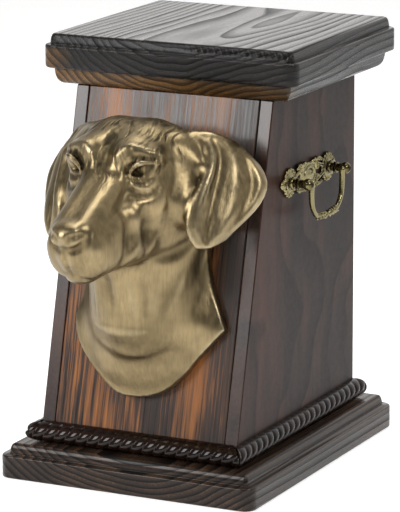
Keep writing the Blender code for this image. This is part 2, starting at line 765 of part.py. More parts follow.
def model_folds(clay):
    for side in (1, -1):
        for _, course, width, height in STROKES:
            placed = [at_head(place, side) for place in smooth_course(course, 3 * len(course))]
            clay.stroke(placed, width, height)
    for _, course, width, height in MIDDLE_STROKES:
        clay.stroke([at_head(place) for place in smooth_course(course, 9)], width, height)
    for _, course, width, height in NECK_STROKES:
        clay.stroke(smooth_course(course, 9), width, height)


def model_ears(clay, across=21, along=9):
    ribs = np.array([smooth_course(rib, along) for rib in EAR_RIBS])
    rows = np.array([smooth_course(ribs[:, i], across) for i in range(along)])
    for side in (1, -LEFT_EAR_TUCK):
        # the left ear hangs swung a little forward
        swing = LEFT_EAR_SWING if side < 0 else 0
        hung = rows + (rows[..., :1] - EAR_HINGE) * np.array((0, swing, 0, 0))
        placed = [[(*at_head(point[:3], side), point[3]) for point in row] for row in hung]
        clay.sheet(np.array(placed), 4)
        for root, tip, width, height in EAR_FOLDS:
            shares = np.linspace(root, tip, along)
            course = [row[round(share * (across - 1))] + (5, 1, 3, 0) for row, share in zip(hung, shares)]
            clay.stroke([at_head(point[:3], side) for point in course[1:]], width, height)


def make_head(bronze):
    clay = Clay((-92, 26, -6), (92, 236, 144), CAST_GRAIN)
    model_head(clay)
    model_neck(clay)
    model_eyes(clay)
    model_folds(clay)
    model_ears(clay)
    points, faces = clay.skin()
    unit = RELIEF_HEIGHT / CAST_PARTS
    foot = np.array([0, RELIEF_FOOT - RELIEF_FOOT * 1000 * unit, 0])
    tilt = math.atan(SLOPE_RUN)
    to_world = np.array(
        [
            (1, 0, 0),
            (0, math.sin(tilt), math.cos(tilt)),
            (0, -math.cos(tilt), math.sin(tilt)),
        ]
    )
    origin = np.array([0, FRONT_FOOT_Y, BASE_THICKNESS])
    placed = (points * unit + foot) @ to_world + origin
    face = Vector(origin + FIT_GAP * to_world[2])
    mesh = thinned("dog_head_relief", placed, faces, HEAD_TRIANGLES, cut=(face, -Vector(to_world[2])))
    return add_object("dog_head_relief", mesh, bronze, smooth_angle=80)


# Side handles


def spun(name, profile, sides=8):
    """A turned piece about X from (x, radius) points."""
    rings = []
    for x, radius in profile:
        angles = (2 * math.pi * i / sides for i in range(sides))
        rings.append([(x, radius * math.cos(a), radius * math.sin(a)) for a in angles])
    return loft(name, rings)


def make_post(name, centre_y, inner, brass, rig):
    """A turned post that stands out of the side along +X, with a ball that holds the bail's pin."""
    wall = PLATE_THICKNESS + ROSETTE_CROWN + FIT_GAP
    neck_end = POST_REACH - BALL_RADIUS * 0.7
    collar = (wall + neck_end) / 2
    profile = [(wall, POST_COLLAR_RADIUS), (wall + 0.0012, POST_COLLAR_RADIUS)]
    profile += [(wall + 0.0018, POST_NECK_RADIUS), (collar - 0.001, POST_NECK_RADIUS)]
    profile += [(collar, POST_COLLAR_RADIUS * 0.9)]
    profile += [(collar + 0.001, POST_NECK_RADIUS), (neck_end, POST_NECK_RADIUS)]
    for i in range(2, 7):
        angle = math.pi * i / 7
        profile.append((POST_REACH - BALL_RADIUS * math.cos(angle), BALL_RADIUS * math.sin(angle)))
    obj = add_object(name, spun(name, profile), brass, parent=rig)
    obj.location = (0, centre_y, 0)
    bore_radius = PIN_RADIUS + PIN_CLEARANCE
    bore = spun(name + "_bore", [(0, bore_radius), (2 * PIN_REACH, bore_radius)], 6)
    cutter = add_object(name + "_bore", bore, brass, parent=rig)
    cutter.location = (POST_REACH, centre_y + inner * (BALL_RADIUS - PIN_REACH - PIN_CLEARANCE), 0)
    cutter.rotation_euler.z = inner * math.pi / 2
    cutter.hide_render = True
    cutter.display_type = "WIRE"
    cut = obj.modifiers.new("pin bore", "BOOLEAN")
    cut.operation = "DIFFERENCE"
    cut.object = cutter
    cut.show_render = cut.show_viewport


def plate_clay(unit):
    """The cast backplate in its own parts about its middle: (out of the side, along, up)."""
    half = PLATE_PARTS / 2
    post = POST_SPACING / unit / 2
    clay = Clay((-2, -half - 3, -13), (7, half + 3, 13), 0.8)
    flat = PLATE_THICKNESS / unit
    for end in (1, -1):
        clay.ball((0.4, end * post, 0), (flat, 9.2, 9.2), PANEL_AXES, 0.8)
        for i in range(9):
            angle = 2 * math.pi * i / 9
            petal = (0.8, end * post + 8.2 * math.cos(angle), 8.2 * math.sin(angle))
            clay.ball(petal, (2.0, 2.4, 2.4), PANEL_AXES, 0.6)
        clay.ball((0.6, end * (half - 4.2), 0), (2.0, 4.4, 3.4), PANEL_AXES, 1.0)
        for up in (1, -1):
            for i in range(10):
                angle = 0.6 + i * 0.55
                radius = 5.4 - 0.42 * i
                centre = np.array((1.0, end * 13.5, up * 4.2))
                turn = np.array((0, end * radius * math.cos(angle), up * radius * math.sin(angle)))
                clay.ball(centre + turn, (1.9, 1.5, 1.5), PANEL_AXES, 1.2)
            clay.limb((0.8, end * 6, up * 7.6), (0.8, end * 21, up * 2.5), 1.5, 1.6, 1.2)
    clay.ball((0.4, 0, 0), (2.3, 10.5, 8.0), PANEL_AXES, 1.2)
    clay.ball((1.4, 0, 0), (2.6, 6.4, 4.6), PANEL_AXES, 0.6)
    return clay


def make_plate(name, brass, rig):
    unit = PLATE_LENGTH / PLATE_PARTS
    points, faces = plate_clay(unit).skin()
    back = (Vector((FIT_GAP, 0, 0)), Vector((-1, 0, 0)))
    mesh = thinned(name, points * unit, faces, PLATE_TRIANGLES, cut=back)
    add_object(name, mesh, brass, parent=rig, smooth_angle=60)


def bail_clay(unit):
    """The drop handle in its own parts about its pivot axis: (out of the side, along, up)."""
    arm = (POST_SPACING / 2 - BALL_RADIUS - FIT_GAP) / unit - 1.6
    bar = arm * BAIL_BAR_SHARE
    drop = BAIL_DROP / unit
    wire = BAIL_WIRE / unit
    clay = Clay((-6, -arm - 6, -drop - 6), (6, arm + 6, 6), 0.8)
    for end in (1, -1):
        bends = (
            (0, end * arm, 0),
            (0, end * (arm + 0.4), -drop * 0.3),
            (0, end * (arm - 1.6), -drop * 0.68),
            (0, end * bar, -drop * 0.95),
            (0, 0, -drop),
        )
        course = smooth_course(bends, 12)
        for i, (a, b) in enumerate(zip(course[:-1], course[1:])):
            clay.limb(a, b, wire * (1.05 - 0.03 * i), wire * (1.02 - 0.03 * i), 0.6)
        clay.ball((0, end * arm, 0), (2.3, 1.5, 2.5), PANEL_AXES, 0.8)
        for share in (0.35, 0.75):
            clay.ball((0, end * bar * share, -drop), (2.5, 2.2, 2.7), PANEL_AXES, 0.8)
    return clay


def make_bail(name, brass, rig):
    unit = BAIL_WIRE / WIRE_PARTS
    points, faces = bail_clay(unit).skin()
    mesh = thinned(name, points * unit, faces, BAIL_TRIANGLES)
    obj = add_object(name, mesh, brass, parent=rig, smooth_angle=60)
    obj.location = (POST_REACH, 0, 0)
    arm = POST_SPACING / 2 - BALL_RADIUS - FIT_GAP
    root = PIN_RADIUS
    for end in (1, -1):
        pin = spun(f"{name}_pin", [(0, PIN_RADIUS), (PIN_REACH + FIT_GAP + root, PIN_RADIUS)], 6)
        helper = add_object(f"{name}_pin_{'rear' if end > 0 else 'front'}", pin, brass, parent=rig)
        helper.location = (POST_REACH, end * (arm - root), 0)
        helper.rotation_euler.z = end * math.pi / 2
        helper.hide_render = True
        helper.display_type = "WIRE"
        join = obj.modifiers.new("pin", "BOOLEAN")
        join.operation = "UNION"
        join.object = helper
        join.show_render = join.show_viewport


def make_handle(side, turn, brass):
    """One handle on the side board: +X of its rig points out of the side."""
    rig = bpy.data.objects.new(f"handle_rig_{side}", None)
    bpy.context.scene.collection.objects.link(rig)
    rig.location = (HALF_WIDTH * math.cos(turn), HANDLE_Y, HANDLE_Z)
    rig.rotation_euler.z = turn
    out = round(math.cos(turn))
    make_plate(f"handle_plate_{side}", brass, rig)
    for place, along in (("front", -1), ("rear", 1)):
        local = out * along
        make_post(f"handle_post_{side}_{place}", local * POST_SPACING / 2, -local, brass, rig)
    make_bail(f"handle_bail_{side}", brass, rig)


def main():
    clear_scene()
    wood = make_material("stained_wood", WOOD_COLOUR, 0.0, 0.35)
    bronze = make_material("cast_bronze", BRONZE_COLOUR, 0.9, 0.38)
    brass = make_material("antique_brass", BRASS_COLOUR, 1.0, 0.3)
    make_base_board(wood)
    make_box(wood)
    make_lid(wood)
    make_ropes(wood)
    make_head(bronze)
    make_handle("right", 0.0, brass)
    make_handle("left", math.pi, brass)


main()
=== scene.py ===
# Pet cremation urn: the finished look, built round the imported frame.
# +X is the urn's right as seen from the front, -Y its front, +Z up, all in metres.
import math

import bmesh
import bpy
import numpy as np
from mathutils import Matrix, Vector, noise


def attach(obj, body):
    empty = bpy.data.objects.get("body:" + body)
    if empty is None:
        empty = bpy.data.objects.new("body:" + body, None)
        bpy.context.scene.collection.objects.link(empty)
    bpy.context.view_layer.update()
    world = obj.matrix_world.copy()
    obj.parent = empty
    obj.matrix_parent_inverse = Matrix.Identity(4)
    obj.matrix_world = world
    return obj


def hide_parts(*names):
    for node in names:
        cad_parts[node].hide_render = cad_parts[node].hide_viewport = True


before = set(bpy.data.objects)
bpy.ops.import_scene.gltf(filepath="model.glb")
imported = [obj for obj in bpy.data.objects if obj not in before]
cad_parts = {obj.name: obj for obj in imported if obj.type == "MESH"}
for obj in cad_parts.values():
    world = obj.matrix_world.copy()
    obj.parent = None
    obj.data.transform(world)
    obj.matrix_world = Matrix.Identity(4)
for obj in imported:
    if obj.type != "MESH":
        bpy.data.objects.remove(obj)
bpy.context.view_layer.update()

# The box's own sizes, as they were drawn
urn = {
    "halfWidth": 0.070,
    "frontFootY": -0.092,
    "frontTopY": -0.036,
    "backY": 0.090,
    "rise": 0.225,
    "boardThickness": 0.009,
    "baseThickness": 0.022,
    "gap": 0.0003,
}
slopeRun = (urn["frontTopY"] - urn["frontFootY"]) / urn["rise"]
tilt = math.atan(slopeRun)
lidZ = urn["baseThickness"] + urn["rise"]
wallFootZ = urn["baseThickness"] + urn["gap"]
wallTopZ = lidZ - urn["gap"]


# Small helpers for shader trees

def newTree(name, inputs, outputs):
    tree = bpy.data.node_groups.new(name, "ShaderNodeTree")
    for label, kind, value in inputs:
        socket = tree.interface.new_socket(label, in_out="INPUT", socket_type=kind)
        if value is not None:
            socket.default_value = value
    for label, kind in outputs:
        tree.interface.new_socket(label, in_out="OUTPUT", socket_type=kind)
    start = tree.nodes.new("NodeGroupInput")
    end = tree.nodes.new("NodeGroupOutput")
    return tree, start.outputs, end.inputs


def put(tree, kind, inputs=None, **settings):
    node = tree.nodes.new(kind)
    for key, value in settings.items():
        setattr(node, key, value)
    for key, value in (inputs or {}).items():
        if isinstance(value, bpy.types.NodeSocket):
            tree.links.new(value, node.inputs[key])
        else:
            node.inputs[key].default_value = value
    return node


def calc(tree, operation, a, b=0.0, clamp=False):
    return put(tree, "ShaderNodeMath", {0: a, 1: b}, operation=operation, use_clamp=clamp).outputs[0]


def plus(tree, a, b, clamp=False):
    return calc(tree, "ADD", a, b, clamp)


def minus(tree, a, b, clamp=False):
    return calc(tree, "SUBTRACT", a, b, clamp)


def times(tree, a, b, clamp=False):
    return calc(tree, "MULTIPLY", a, b, clamp)


def remap(tree, value, low, high, toLow=0.0, toHigh=1.0):
    limits = {"From Min": low, "From Max": high, "To Min": toLow, "To Max": toHigh}
    return put(tree, "ShaderNodeMapRange", {"Value": value, **limits}).outputs["Result"]


def blendColour(tree, share, a, b, mode="MIX"):
    node = put(tree, "ShaderNodeMix", data_type="RGBA", blend_type=mode)
    for socket, value in ((node.inputs[0], share), (node.inputs[6], a), (node.inputs[7], b)):
        if isinstance(value, bpy.types.NodeSocket):
            tree.links.new(value, socket)
        elif hasattr(value, "__len__"):
            socket.default_value = (*value[:3], 1.0)
        else:
            socket.default_value = value
    return node.outputs[2]


def cloud(tree, place, scale, detail=2.0, roughness=0.5):
    look = {"Scale": scale, "Detail": detail, "Roughness": roughness}
    return put(tree, "ShaderNodeTexNoise", {"Vector": place, **look}).outputs[0]


def vectorCalc(tree, operation, inputs):
    return put(tree, "ShaderNodeVectorMath", inputs, operation=operation).outputs[0]


def stretched(tree, place, factors):
    return vectorCalc(tree, "MULTIPLY", {0: place, 1: factors})


def swayed(tree, place, drift, amount):
    # the place pushed about by a slow noise
    pushes = put(tree, "ShaderNodeTexNoise", drift).outputs["Color"]
    centred = vectorCalc(tree, "SUBTRACT", {0: pushes, 1: (0.5, 0.5, 0.5)})
    push = vectorCalc(tree, "SCALE", {0: centred, "Scale": amount})
    return vectorCalc(tree, "ADD", {0: place, 1: push})


def partsOf(tree, vector):
    return put(tree, "ShaderNodeSeparateXYZ", {0: vector}).outputs


def joined(tree, x, y, z):
    return put(tree, "ShaderNodeCombineXYZ", {0: x, 1: y, 2: z}).outputs[0]


def facing(tree, axis):
    # how far the surface looks along an axis
    return partsOf(tree, put(tree, "ShaderNodeNewGeometry").outputs["Normal"])[axis]


def dimmed(tree, colour, level):
    return blendColour(tree, 1.0, colour, joined(tree, level, level, level), "MULTIPLY")


def newMaterial(name, **values):
    material = bpy.data.materials.new(name)
    material.use_nodes = True
    tree = material.node_tree
    shader = tree.nodes["Principled BSDF"]
    for key, value in values.items():
        socket = shader.inputs[key.replace("_", " ")]
        socket.default_value = (*value, 1.0) if hasattr(value, "__len__") else value
    return material, tree, shader


# Effects that several finishes share

def makeWoodFigure():
    # growth rings round a pith line, fine fibres and broad patches; the grain runs along the place's Z
    tree, given, out = newTree(
        "woodFigure",
        [
            ("Place", "NodeSocketVector", None),
            ("Pith X", "NodeSocketFloat", 0.0),
            ("Pith Y", "NodeSocketFloat", -0.05),
            ("Ring Spacing", "NodeSocketFloat", 0.004),
            ("Wobble", "NodeSocketFloat", 0.01),
            ("Wobble Scale", "NodeSocketFloat", 14.0),
            ("Stretch", "NodeSocketFloat", 0.12),
        ],
        [(label, "NodeSocketFloat") for label in ("Rings", "Fibres", "Patches", "Relief")],
    )
    long = stretched(tree, given["Place"], joined(tree, 1.0, 1.0, given["Stretch"]))
    drift = {"Vector": long, "Scale": given["Wobble Scale"], "Detail": 2.0, "Roughness": 0.4}
    parts = partsOf(tree, swayed(tree, given["Place"], drift, given["Wobble"]))
    across = minus(tree, parts[0], given["Pith X"])
    through = minus(tree, parts[1], given["Pith Y"])
    flat = joined(tree, across, through, 0.0)
    radius = put(tree, "ShaderNodeVectorMath", {0: flat}, operation="LENGTH").outputs["Value"]
    turn = calc(tree, "DIVIDE", radius, given["Ring Spacing"])
    phase = calc(tree, "FRACT", turn)
    late = calc(tree, "POWER", phase, 2.2)
    reset = remap(tree, phase, 0.93, 1.0, 1.0, 0.0)
    rings = times(tree, late, reset)
    # some years are darker than others
    yearly = cloud(tree, joined(tree, calc(tree, "FLOOR", turn), 0.0, 0.0), 3.7, 0.0)
    rings = times(tree, rings, remap(tree, yearly, 0.3, 0.7, 0.45, 1.0))
    fine = stretched(tree, given["Place"], (1.0, 1.0, 0.025))
    fibres = cloud(tree, fine, 1300.0, 3.0, 0.65)
    patches = cloud(tree, stretched(tree, given["Place"], (1.0, 1.0, 0.22)), 26.0, 3.0, 0.6)
    relief = minus(tree, times(tree, fibres, 0.35), times(tree, rings, 0.7))
    for label, value in (("Rings", rings), ("Fibres", fibres), ("Patches", patches), ("Relief", relief)):
        tree.links.new(value, out[label])
    return tree


def makeStreaks():
    # straight fine streaks of stain along the place's Z, in broad columns and blotches
    tree, given, out = newTree(
        "stainStreaks",
        [
            ("Place", "NodeSocketVector", None),
            ("Columns", "NodeSocketFloat", 34.0),
            ("Fine", "NodeSocketFloat", 560.0),
        ],
        [("Tone", "NodeSocketFloat"), ("Fibres", "NodeSocketFloat")],
    )
    columns = cloud(tree, stretched(tree, given["Place"], (1.0, 0.05, 0.06)), given["Columns"], 3.0, 0.55)
    fine = cloud(tree, stretched(tree, given["Place"], (1.0, 0.02, 0.022)), given["Fine"], 2.0, 0.6)
    fibres = cloud(tree, stretched(tree, given["Place"], (1.0, 0.02, 0.03)), 1100.0, 2.0, 0.7)
    blotches = cloud(tree, stretched(tree, given["Place"], (1.0, 0.1, 0.16)), 60.0, 2.0, 0.5)
    tone = plus(tree, times(tree, columns, 0.45), times(tree, fine, 0.50))
    tone = plus(tree, tone, times(tree, minus(tree, fibres, 0.5), 0.30))
    tone = plus(tree, tone, times(tree, minus(tree, blotches, 0.5), 0.45))
    tree.links.new(remap(tree, tone, 0.32, 0.64), out["Tone"])
    mixed = plus(tree, times(tree, fine, 0.6), times(tree, fibres, 0.4))
    tree.links.new(mixed, out["Fibres"])
    return tree


def makeEdgeRubAndHighlight():
    # where arrises stand proud: lighter as rubbed wear and as a painted highlight along the arris, broken up
    # by grime
    tree, given, out = newTree(
        "edgeRubAndHighlight",
        [
            ("Place", "NodeSocketVector", None),
            ("Start", "NodeSocketFloat", 0.53),
            ("Full", "NodeSocketFloat", 0.60),
        ],
        [("RubAndHighlight", "NodeSocketFloat")],
    )
    proud = put(tree, "ShaderNodeNewGeometry").outputs["Pointiness"]
    broken = cloud(tree, given["Place"], 240.0, 4.0, 0.7)
    sharp = remap(tree, proud, given["Start"], given["Full"])
    rubAndHighlight = times(tree, sharp, remap(tree, broken, 0.38, 0.62), clamp=True)
    tree.links.new(rubAndHighlight, out["RubAndHighlight"])
    return tree


def makeDust():
    # thin settled dust on faces that look up
    tree, given, out = newTree(
        "settledDust",
        [("Place", "NodeSocketVector", None), ("Amount", "NodeSocketFloat", 0.1)],
        [("Dust", "NodeSocketFloat")],
    )
    level = remap(tree, facing(tree, 2), 0.2, 1.0)
    specks = cloud(tree, given["Place"], 900.0, 3.0, 0.7)
    film = cloud(tree, given["Place"], 35.0, 3.0)
    mix = times(tree, remap(tree, specks, 0.52, 0.75), remap(tree, film, 0.35, 0.65, 0.3, 1.0))
    amount = times(tree, times(tree, mix, level), given["Amount"], clamp=True)
    tree.links.new(amount, out["Dust"])
    return tree


def makeCastPatina():
    # dark patina kept in the recesses, crests lighter as rubbed metal and as a painted highlight, and brushed
    # streaks for cast metal
    tree, given, out = newTree(
        "castPatina",
        [
            ("Place", "NodeSocketVector", None),
            ("Recess", "NodeSocketFloat", 0.0),
            ("Metal", "NodeSocketColor", (0.4, 0.3, 0.14, 1)),
            ("Patina", "NodeSocketColor", (0.05, 0.035, 0.015, 1)),
            ("Bright", "NodeSocketColor", (0.75, 0.6, 0.35, 1)),
            ("Mottle Scale", "NodeSocketFloat", 60.0),
            ("Mottle Amount", "NodeSocketFloat", 0.25),
            ("Recess Gain", "NodeSocketFloat", 1.0),
            ("Dullness", "NodeSocketFloat", 0.0),
            ("Hair", "NodeSocketFloat", 0.0),
            ("Hair From", "NodeSocketFloat", 0.196),
        ],
        [
            ("Colour", "NodeSocketColor"),
            ("Roughness", "NodeSocketFloat"),
            ("Relief", "NodeSocketFloat"),
        ],
    )
    mottle = cloud(tree, given["Place"], given["Mottle Scale"], 4.0, 0.6)
    # brushed backwards over the crown and downwards over the steep faces
    level = cloud(tree, stretched(tree, given["Place"], (1.0, 0.10, 0.6)), 520.0, 4.0, 0.65)
    steep = cloud(tree, stretched(tree, given["Place"], (1.0, 0.8, 0.09)), 520.0, 4.0, 0.65)
    share = remap(tree, facing(tree, 2), 0.35, 0.75)
    streaks = times(tree, steep, minus(tree, 1.0, share))
    streaks = plus(tree, times(tree, level, share), streaks)
    # wavy strokes of hair combed back over the crown
    drift = {"Vector": given["Place"], "Scale": 38.0, "Detail": 1.0}
    combed = swayed(tree, given["Place"], drift, 0.020)
    strokes = cloud(tree, stretched(tree, combed, (1.0, 0.16, 0.30)), 330.0, 1.0, 0.5)
    across, _, height = partsOf(tree, given["Place"])
    aside = calc(tree, "ABSOLUTE", across)
    crown = remap(tree, height, given["Hair From"], 0.216)
    crown = times(tree, crown, remap(tree, aside, 0.040, 0.030))
    hair = times(tree, remap(tree, strokes, 0.50, 0.66), times(tree, crown, given["Hair"]))
    sunk = plus(tree, times(tree, given["Recess"], given["Recess Gain"]), times(tree, hair, 0.55))
    sunk = plus(tree, sunk, times(tree, minus(tree, mottle, 0.5), given["Mottle Amount"]))
    dark = remap(tree, sunk, 0.0, 0.62)
    # painted highlight: crests take the Bright colour, partly as rubbed metal
    crest = remap(tree, sunk, -0.08, -0.7)
    colour = blendColour(tree, dark, given["Metal"], given["Patina"])
    colour = blendColour(tree, times(tree, crest, 0.5), colour, given["Bright"])
    shade = remap(tree, streaks, 0.3, 0.7, 0.80, 1.14)
    broad = cloud(tree, given["Place"], 30.0, 3.0, 0.6)
    shade = times(tree, shade, remap(tree, broad, 0.36, 0.66, 1.16, 0.70))
    colour = dimmed(tree, colour, shade)
    satin = remap(tree, streaks, 0.3, 0.7, -0.04, 0.10)
    rough = plus(tree, remap(tree, dark, 0.0, 1.0, 0.30, 0.58), satin, clamp=True)
    rough = plus(tree, rough, given["Dullness"], clamp=True)
    relief = plus(tree, times(tree, streaks, 0.6), times(tree, mottle, 0.4))
    relief = minus(tree, relief, times(tree, hair, 0.8))
    tree.links.new(colour, out["Colour"])
    tree.links.new(rough, out["Roughness"])
    tree.links.new(relief, out["Relief"])
    return tree


woodFigure = makeWoodFigure()
stainStreaks = makeStreaks()
edgeRubAndHighlight = makeEdgeRubAndHighlight()
settledDust = makeDust()
castPatina = makeCastPatina()


def useGroup(tree, group, **values):
    node = tree.nodes.new("ShaderNodeGroup")
    node.node_tree = group
    for key, value in values.items():
        socket = node.inputs[key.replace("_", " ")]
        if isinstance(value, bpy.types.NodeSocket):
            tree.links.new(value, socket)
        else:
            socket.default_value = value
    return node.outputs


# Wood finishes

stainBlack = (0.0075, 0.0052, 0.0045)
# the lighter colour of rubbed arrises, which also paints their highlight
rubbedEdgeAndHighlight = (0.10, 0.07, 0.055)
dustColour = (0.45, 0.43, 0.41)


def grainPlace(tree, turn, shift):
    # object coordinates turned so that the board's grain runs along Z
    place = put(tree, "ShaderNodeTexCoord").outputs["Object"]
    mapping = put(tree, "ShaderNodeMapping", {"Vector": place, "Location": shift, "Rotation": turn})
    return place, mapping.outputs[0]


def paintedUnderReflection(tree, place, warm, underReflection):
    # painted reflection: floor light reflected under the front of a board is painted in as gold, stronger
    # towards the left, and the same gold is painted on the left end of the front
    across, front, height = partsOf(tree, place)
    soft = underReflection["softEdge"]
    under = remap(tree, height, underReflection["top"], underReflection["top"] - soft)
    under = times(tree, under, remap(tree, across, *underReflection["faintToStrong"], 0.35, 1.0))
    leftEnd = remap(tree, height, underReflection["endTop"], underReflection["endTop"] - soft)
    leftEnd = times(tree, leftEnd, remap(tree, across, *underReflection["leftEnd"], 0.0, 0.7))
    band = times(tree, calc(tree, "MAXIMUM", under, leftEnd), remap(tree, warm, 0.1, 0.7, 0.25, 1.0))
    return times(tree, band, remap(tree, front, underReflection["frontY"] + underReflection["reach"], underReflection["frontY"] - soft))


def makeWood(
    name, turn, figure, colours, coatRoughness, roughness, reliefDepth, coat, contrast, shine,
    shift=(0.0, 0.0, 0.0), weights=(0.75, 0.35, 0.55), dust=0.0, sideShade=1.0, underReflection=None, frontCoat=0.0,
):
    material, tree, shader = newMaterial(
        name, Coat_Roughness=coatRoughness, Coat_IOR=1.5, Specular_IOR_Level=shine,
    )
    raw, place = grainPlace(tree, turn, shift)
    made = useGroup(tree, woodFigure, Place=place, **figure)
    low, middle, high = colours
    tone = plus(tree, times(tree, made["Patches"], weights[0]), times(tree, made["Fibres"], weights[1]))
    tone = minus(tree, tone, times(tree, made["Rings"], weights[2]))
    warm = remap(tree, tone, *contrast)
    colour = blendColour(tree, remap(tree, warm, 0.0, 0.55), low, middle)
    colour = blendColour(tree, remap(tree, warm, 0.5, 1.0), colour, high)
    # painted shade: faces that turn away from up are darkened down to sideShade, and they get less coat than
    # the top
    level = remap(tree, facing(tree, 2), 0.6, 0.98, sideShade, 1.0)
    colour = dimmed(tree, colour, level)
    # painted reflection of floor light, in gold, under the front
    if underReflection:
        colour = blendColour(tree, paintedUnderReflection(tree, raw, warm, underReflection), colour, underReflection["colour"])
    # arrises turn lighter, partly rubbed wear and partly a painted highlight
    rubAndHighlight = useGroup(tree, edgeRubAndHighlight, Place=raw)["RubAndHighlight"]
    colour = blendColour(tree, times(tree, rubAndHighlight, 0.35), colour, rubbedEdgeAndHighlight)
    if dust:
        film = useGroup(tree, settledDust, Place=raw, Amount=dust)["Dust"]
        colour = blendColour(tree, film, colour, dustColour)
    tree.links.new(colour, shader.inputs["Base Color"])
    worn = plus(tree, made["Rings"], times(tree, minus(tree, made["Fibres"], 0.5), 0.9), clamp=True)
    tree.links.new(remap(tree, worn, 0.0, 0.8, *roughness), shader.inputs["Roughness"])
    varnish = times(tree, remap(tree, worn, 0.0, 0.8, coat[1], coat[0]), level)
    if frontCoat:
        ahead = remap(tree, facing(tree, 1), -0.80, -0.95)
        varnish = plus(tree, varnish, times(tree, ahead, frontCoat))
    tree.links.new(varnish, shader.inputs["Coat Weight"])
    bump = put(tree, "ShaderNodeBump", {"Height": made["Relief"], "Strength": 1.0, "Distance": reliefDepth})
    tree.links.new(bump.outputs[0], shader.inputs["Normal"])
    return material


# stain colours of the panel, and the painted shade towards its edges
panelStainAndShade = {
    "low": (0.012, 0.0075, 0.006),
    "middle": (0.052, 0.023, 0.012),
    "high": (0.34, 0.120, 0.024),
    "rightShade": (0.026, 0.052),
    "leftShade": (-0.042, -0.062),
    "shade": 0.42,
    "roughness": (0.26, 0.48),
    "coat": (0.48, 0.14),
    "reliefDepth": 0.00035,
}


def makePanelWood():
    p = panelStainAndShade
    material, tree, shader = newMaterial(
        "panelWood", Coat_Roughness=0.14, Coat_IOR=1.5, Specular_IOR_Level=0.30,
    )
    raw, place = grainPlace(tree, (0, 0, 0), (0.31, 0.2, 0.0))
    made = useGroup(tree, stainStreaks, Place=place)
    ragged = times(tree, minus(tree, made["Fibres"], 0.5), 0.06)
    across = plus(tree, partsOf(tree, raw)[0], ragged)
    # painted shade: the colour is darkened towards both edges of the panel, on the right where the head's
    # shadow falls
    left = remap(tree, across, *p["leftShade"])
    shaded = plus(tree, remap(tree, across, *p["rightShade"]), left, clamp=True)
    tone = minus(tree, made["Tone"], times(tree, shaded, p["shade"]), clamp=True)
    colour = blendColour(tree, remap(tree, tone, 0.0, 0.5), p["low"], p["middle"])
    colour = blendColour(tree, remap(tree, tone, 0.40, 0.95), colour, p["high"])
    tree.links.new(colour, shader.inputs["Base Color"])
    tree.links.new(remap(tree, made["Fibres"], 0.35, 0.65, *p["roughness"]), shader.inputs["Roughness"])
    tree.links.new(remap(tree, made["Fibres"], 0.35, 0.65, *p["coat"]), shader.inputs["Coat Weight"])
    relief = {"Height": made["Fibres"], "Strength": 1.0, "Distance": p["reliefDepth"]}
    tree.links.new(put(tree, "ShaderNodeBump", relief).outputs[0], shader.inputs["Normal"])
    return material


quarterTurn = math.pi / 2
alongY = (quarterTurn, 0, 0)

# roughness goes from early wood to late wood and coat from the grooves to the ridges; contrast is the
# tone that turns darkest and lightest; weights are those of the patches, the fibres and the rings
lidFinish = {
    "turn": alongY,
    "figure": {
        "Pith_X": 0.012, "Pith_Y": -0.37, "Ring_Spacing": 0.0040,
        "Wobble": 0.034, "Wobble_Scale": 16.0, "Stretch": 0.22,
    },
    "colours": ((0.004, 0.003, 0.0026), (0.026, 0.019, 0.015), (0.085, 0.062, 0.049)),
    "coatRoughness": 0.20,
    "roughness": (0.24, 0.60),
    "reliefDepth": 0.0010,
    "coat": (0.0, 0.75),
    "dust": 0.05,
    "contrast": (0.22, 0.85),
    "weights": (0.6, 0.5, 1.0),
    "shine": 0.22,
    "sideShade": 0.28,
    # gold painted under the front as reflected floor light, and at the left end
    "underReflection": {
        "top": 0.258,
        "endTop": 0.272,
        "frontY": -0.036,
        "reach": 0.018,
        "softEdge": 0.002,
        "faintToStrong": (0.085, -0.03),
        "leftEnd": (-0.066, -0.085),
        "colour": (0.21, 0.105, 0.030),
    },
}
baseFinish = {
    "turn": alongY,
    "figure": {
        "Pith_X": 0.004, "Pith_Y": -0.135, "Ring_Spacing": 0.0040,
        "Wobble": 0.020, "Wobble_Scale": 12.0, "Stretch": 0.14,
    },
    "colours": (stainBlack, (0.048, 0.028, 0.018), (0.20, 0.110, 0.060)),
    "coatRoughness": 0.09,
    "roughness": (0.26, 0.46),
    "reliefDepth": 0.0006,
    "coat": (0.10, 0.50),
    "dust": 0.02,
    "contrast": (0.14, 0.74),
    "weights": (0.6, 0.35, 0.8),
    "shine": 0.12,
    "sideShade": 0.70,
}
sideFinish = {
    "turn": (0, 0, 0),
    "shift": (0.0, 0.0, 0.13),
    "figure": {
        "Pith_X": -0.02, "Pith_Y": -0.16, "Ring_Spacing": 0.034,
        "Wobble": 0.20, "Wobble_Scale": 9.0, "Stretch": 0.9,
    },
    "colours": (stainBlack, (0.012, 0.0072, 0.006), (0.062, 0.024, 0.014)),
    "coatRoughness": 0.26,
    "roughness": (0.36, 0.40),
    "reliefDepth": 0.00003,
    "coat": (0.045, 0.065),
    "contrast": (0.16, 0.78),
    "weights": (0.85, 0.25, 0.22),
    "shine": 0.08,
    "frontCoat": 0.95,
}
ropeFinish = {
    "turn": (0, quarterTurn, 0),
    "figure": {
        "Pith_X": 0.02, "Pith_Y": 0.03, "Ring_Spacing": 0.005,
        "Wobble": 0.01, "Wobble_Scale": 20.0, "Stretch": 0.2,
    },
    "colours": ((0.004, 0.002, 0.0014), (0.013, 0.0058, 0.0036), (0.045, 0.017, 0.009)),
    "coatRoughness": 0.07,
    "roughness": (0.20, 0.28),
    "reliefDepth": 0.0001,
    "coat": (0.35, 0.50),
    "contrast": (0.2, 0.95),
    "shine": 0.08,
}
lidWood = makeWood("lidWood", **lidFinish)
baseWood = makeWood("baseWood", **baseFinish)
panelWood = makePanelWood()
sideWood = makeWood("sideWood", **sideFinish)
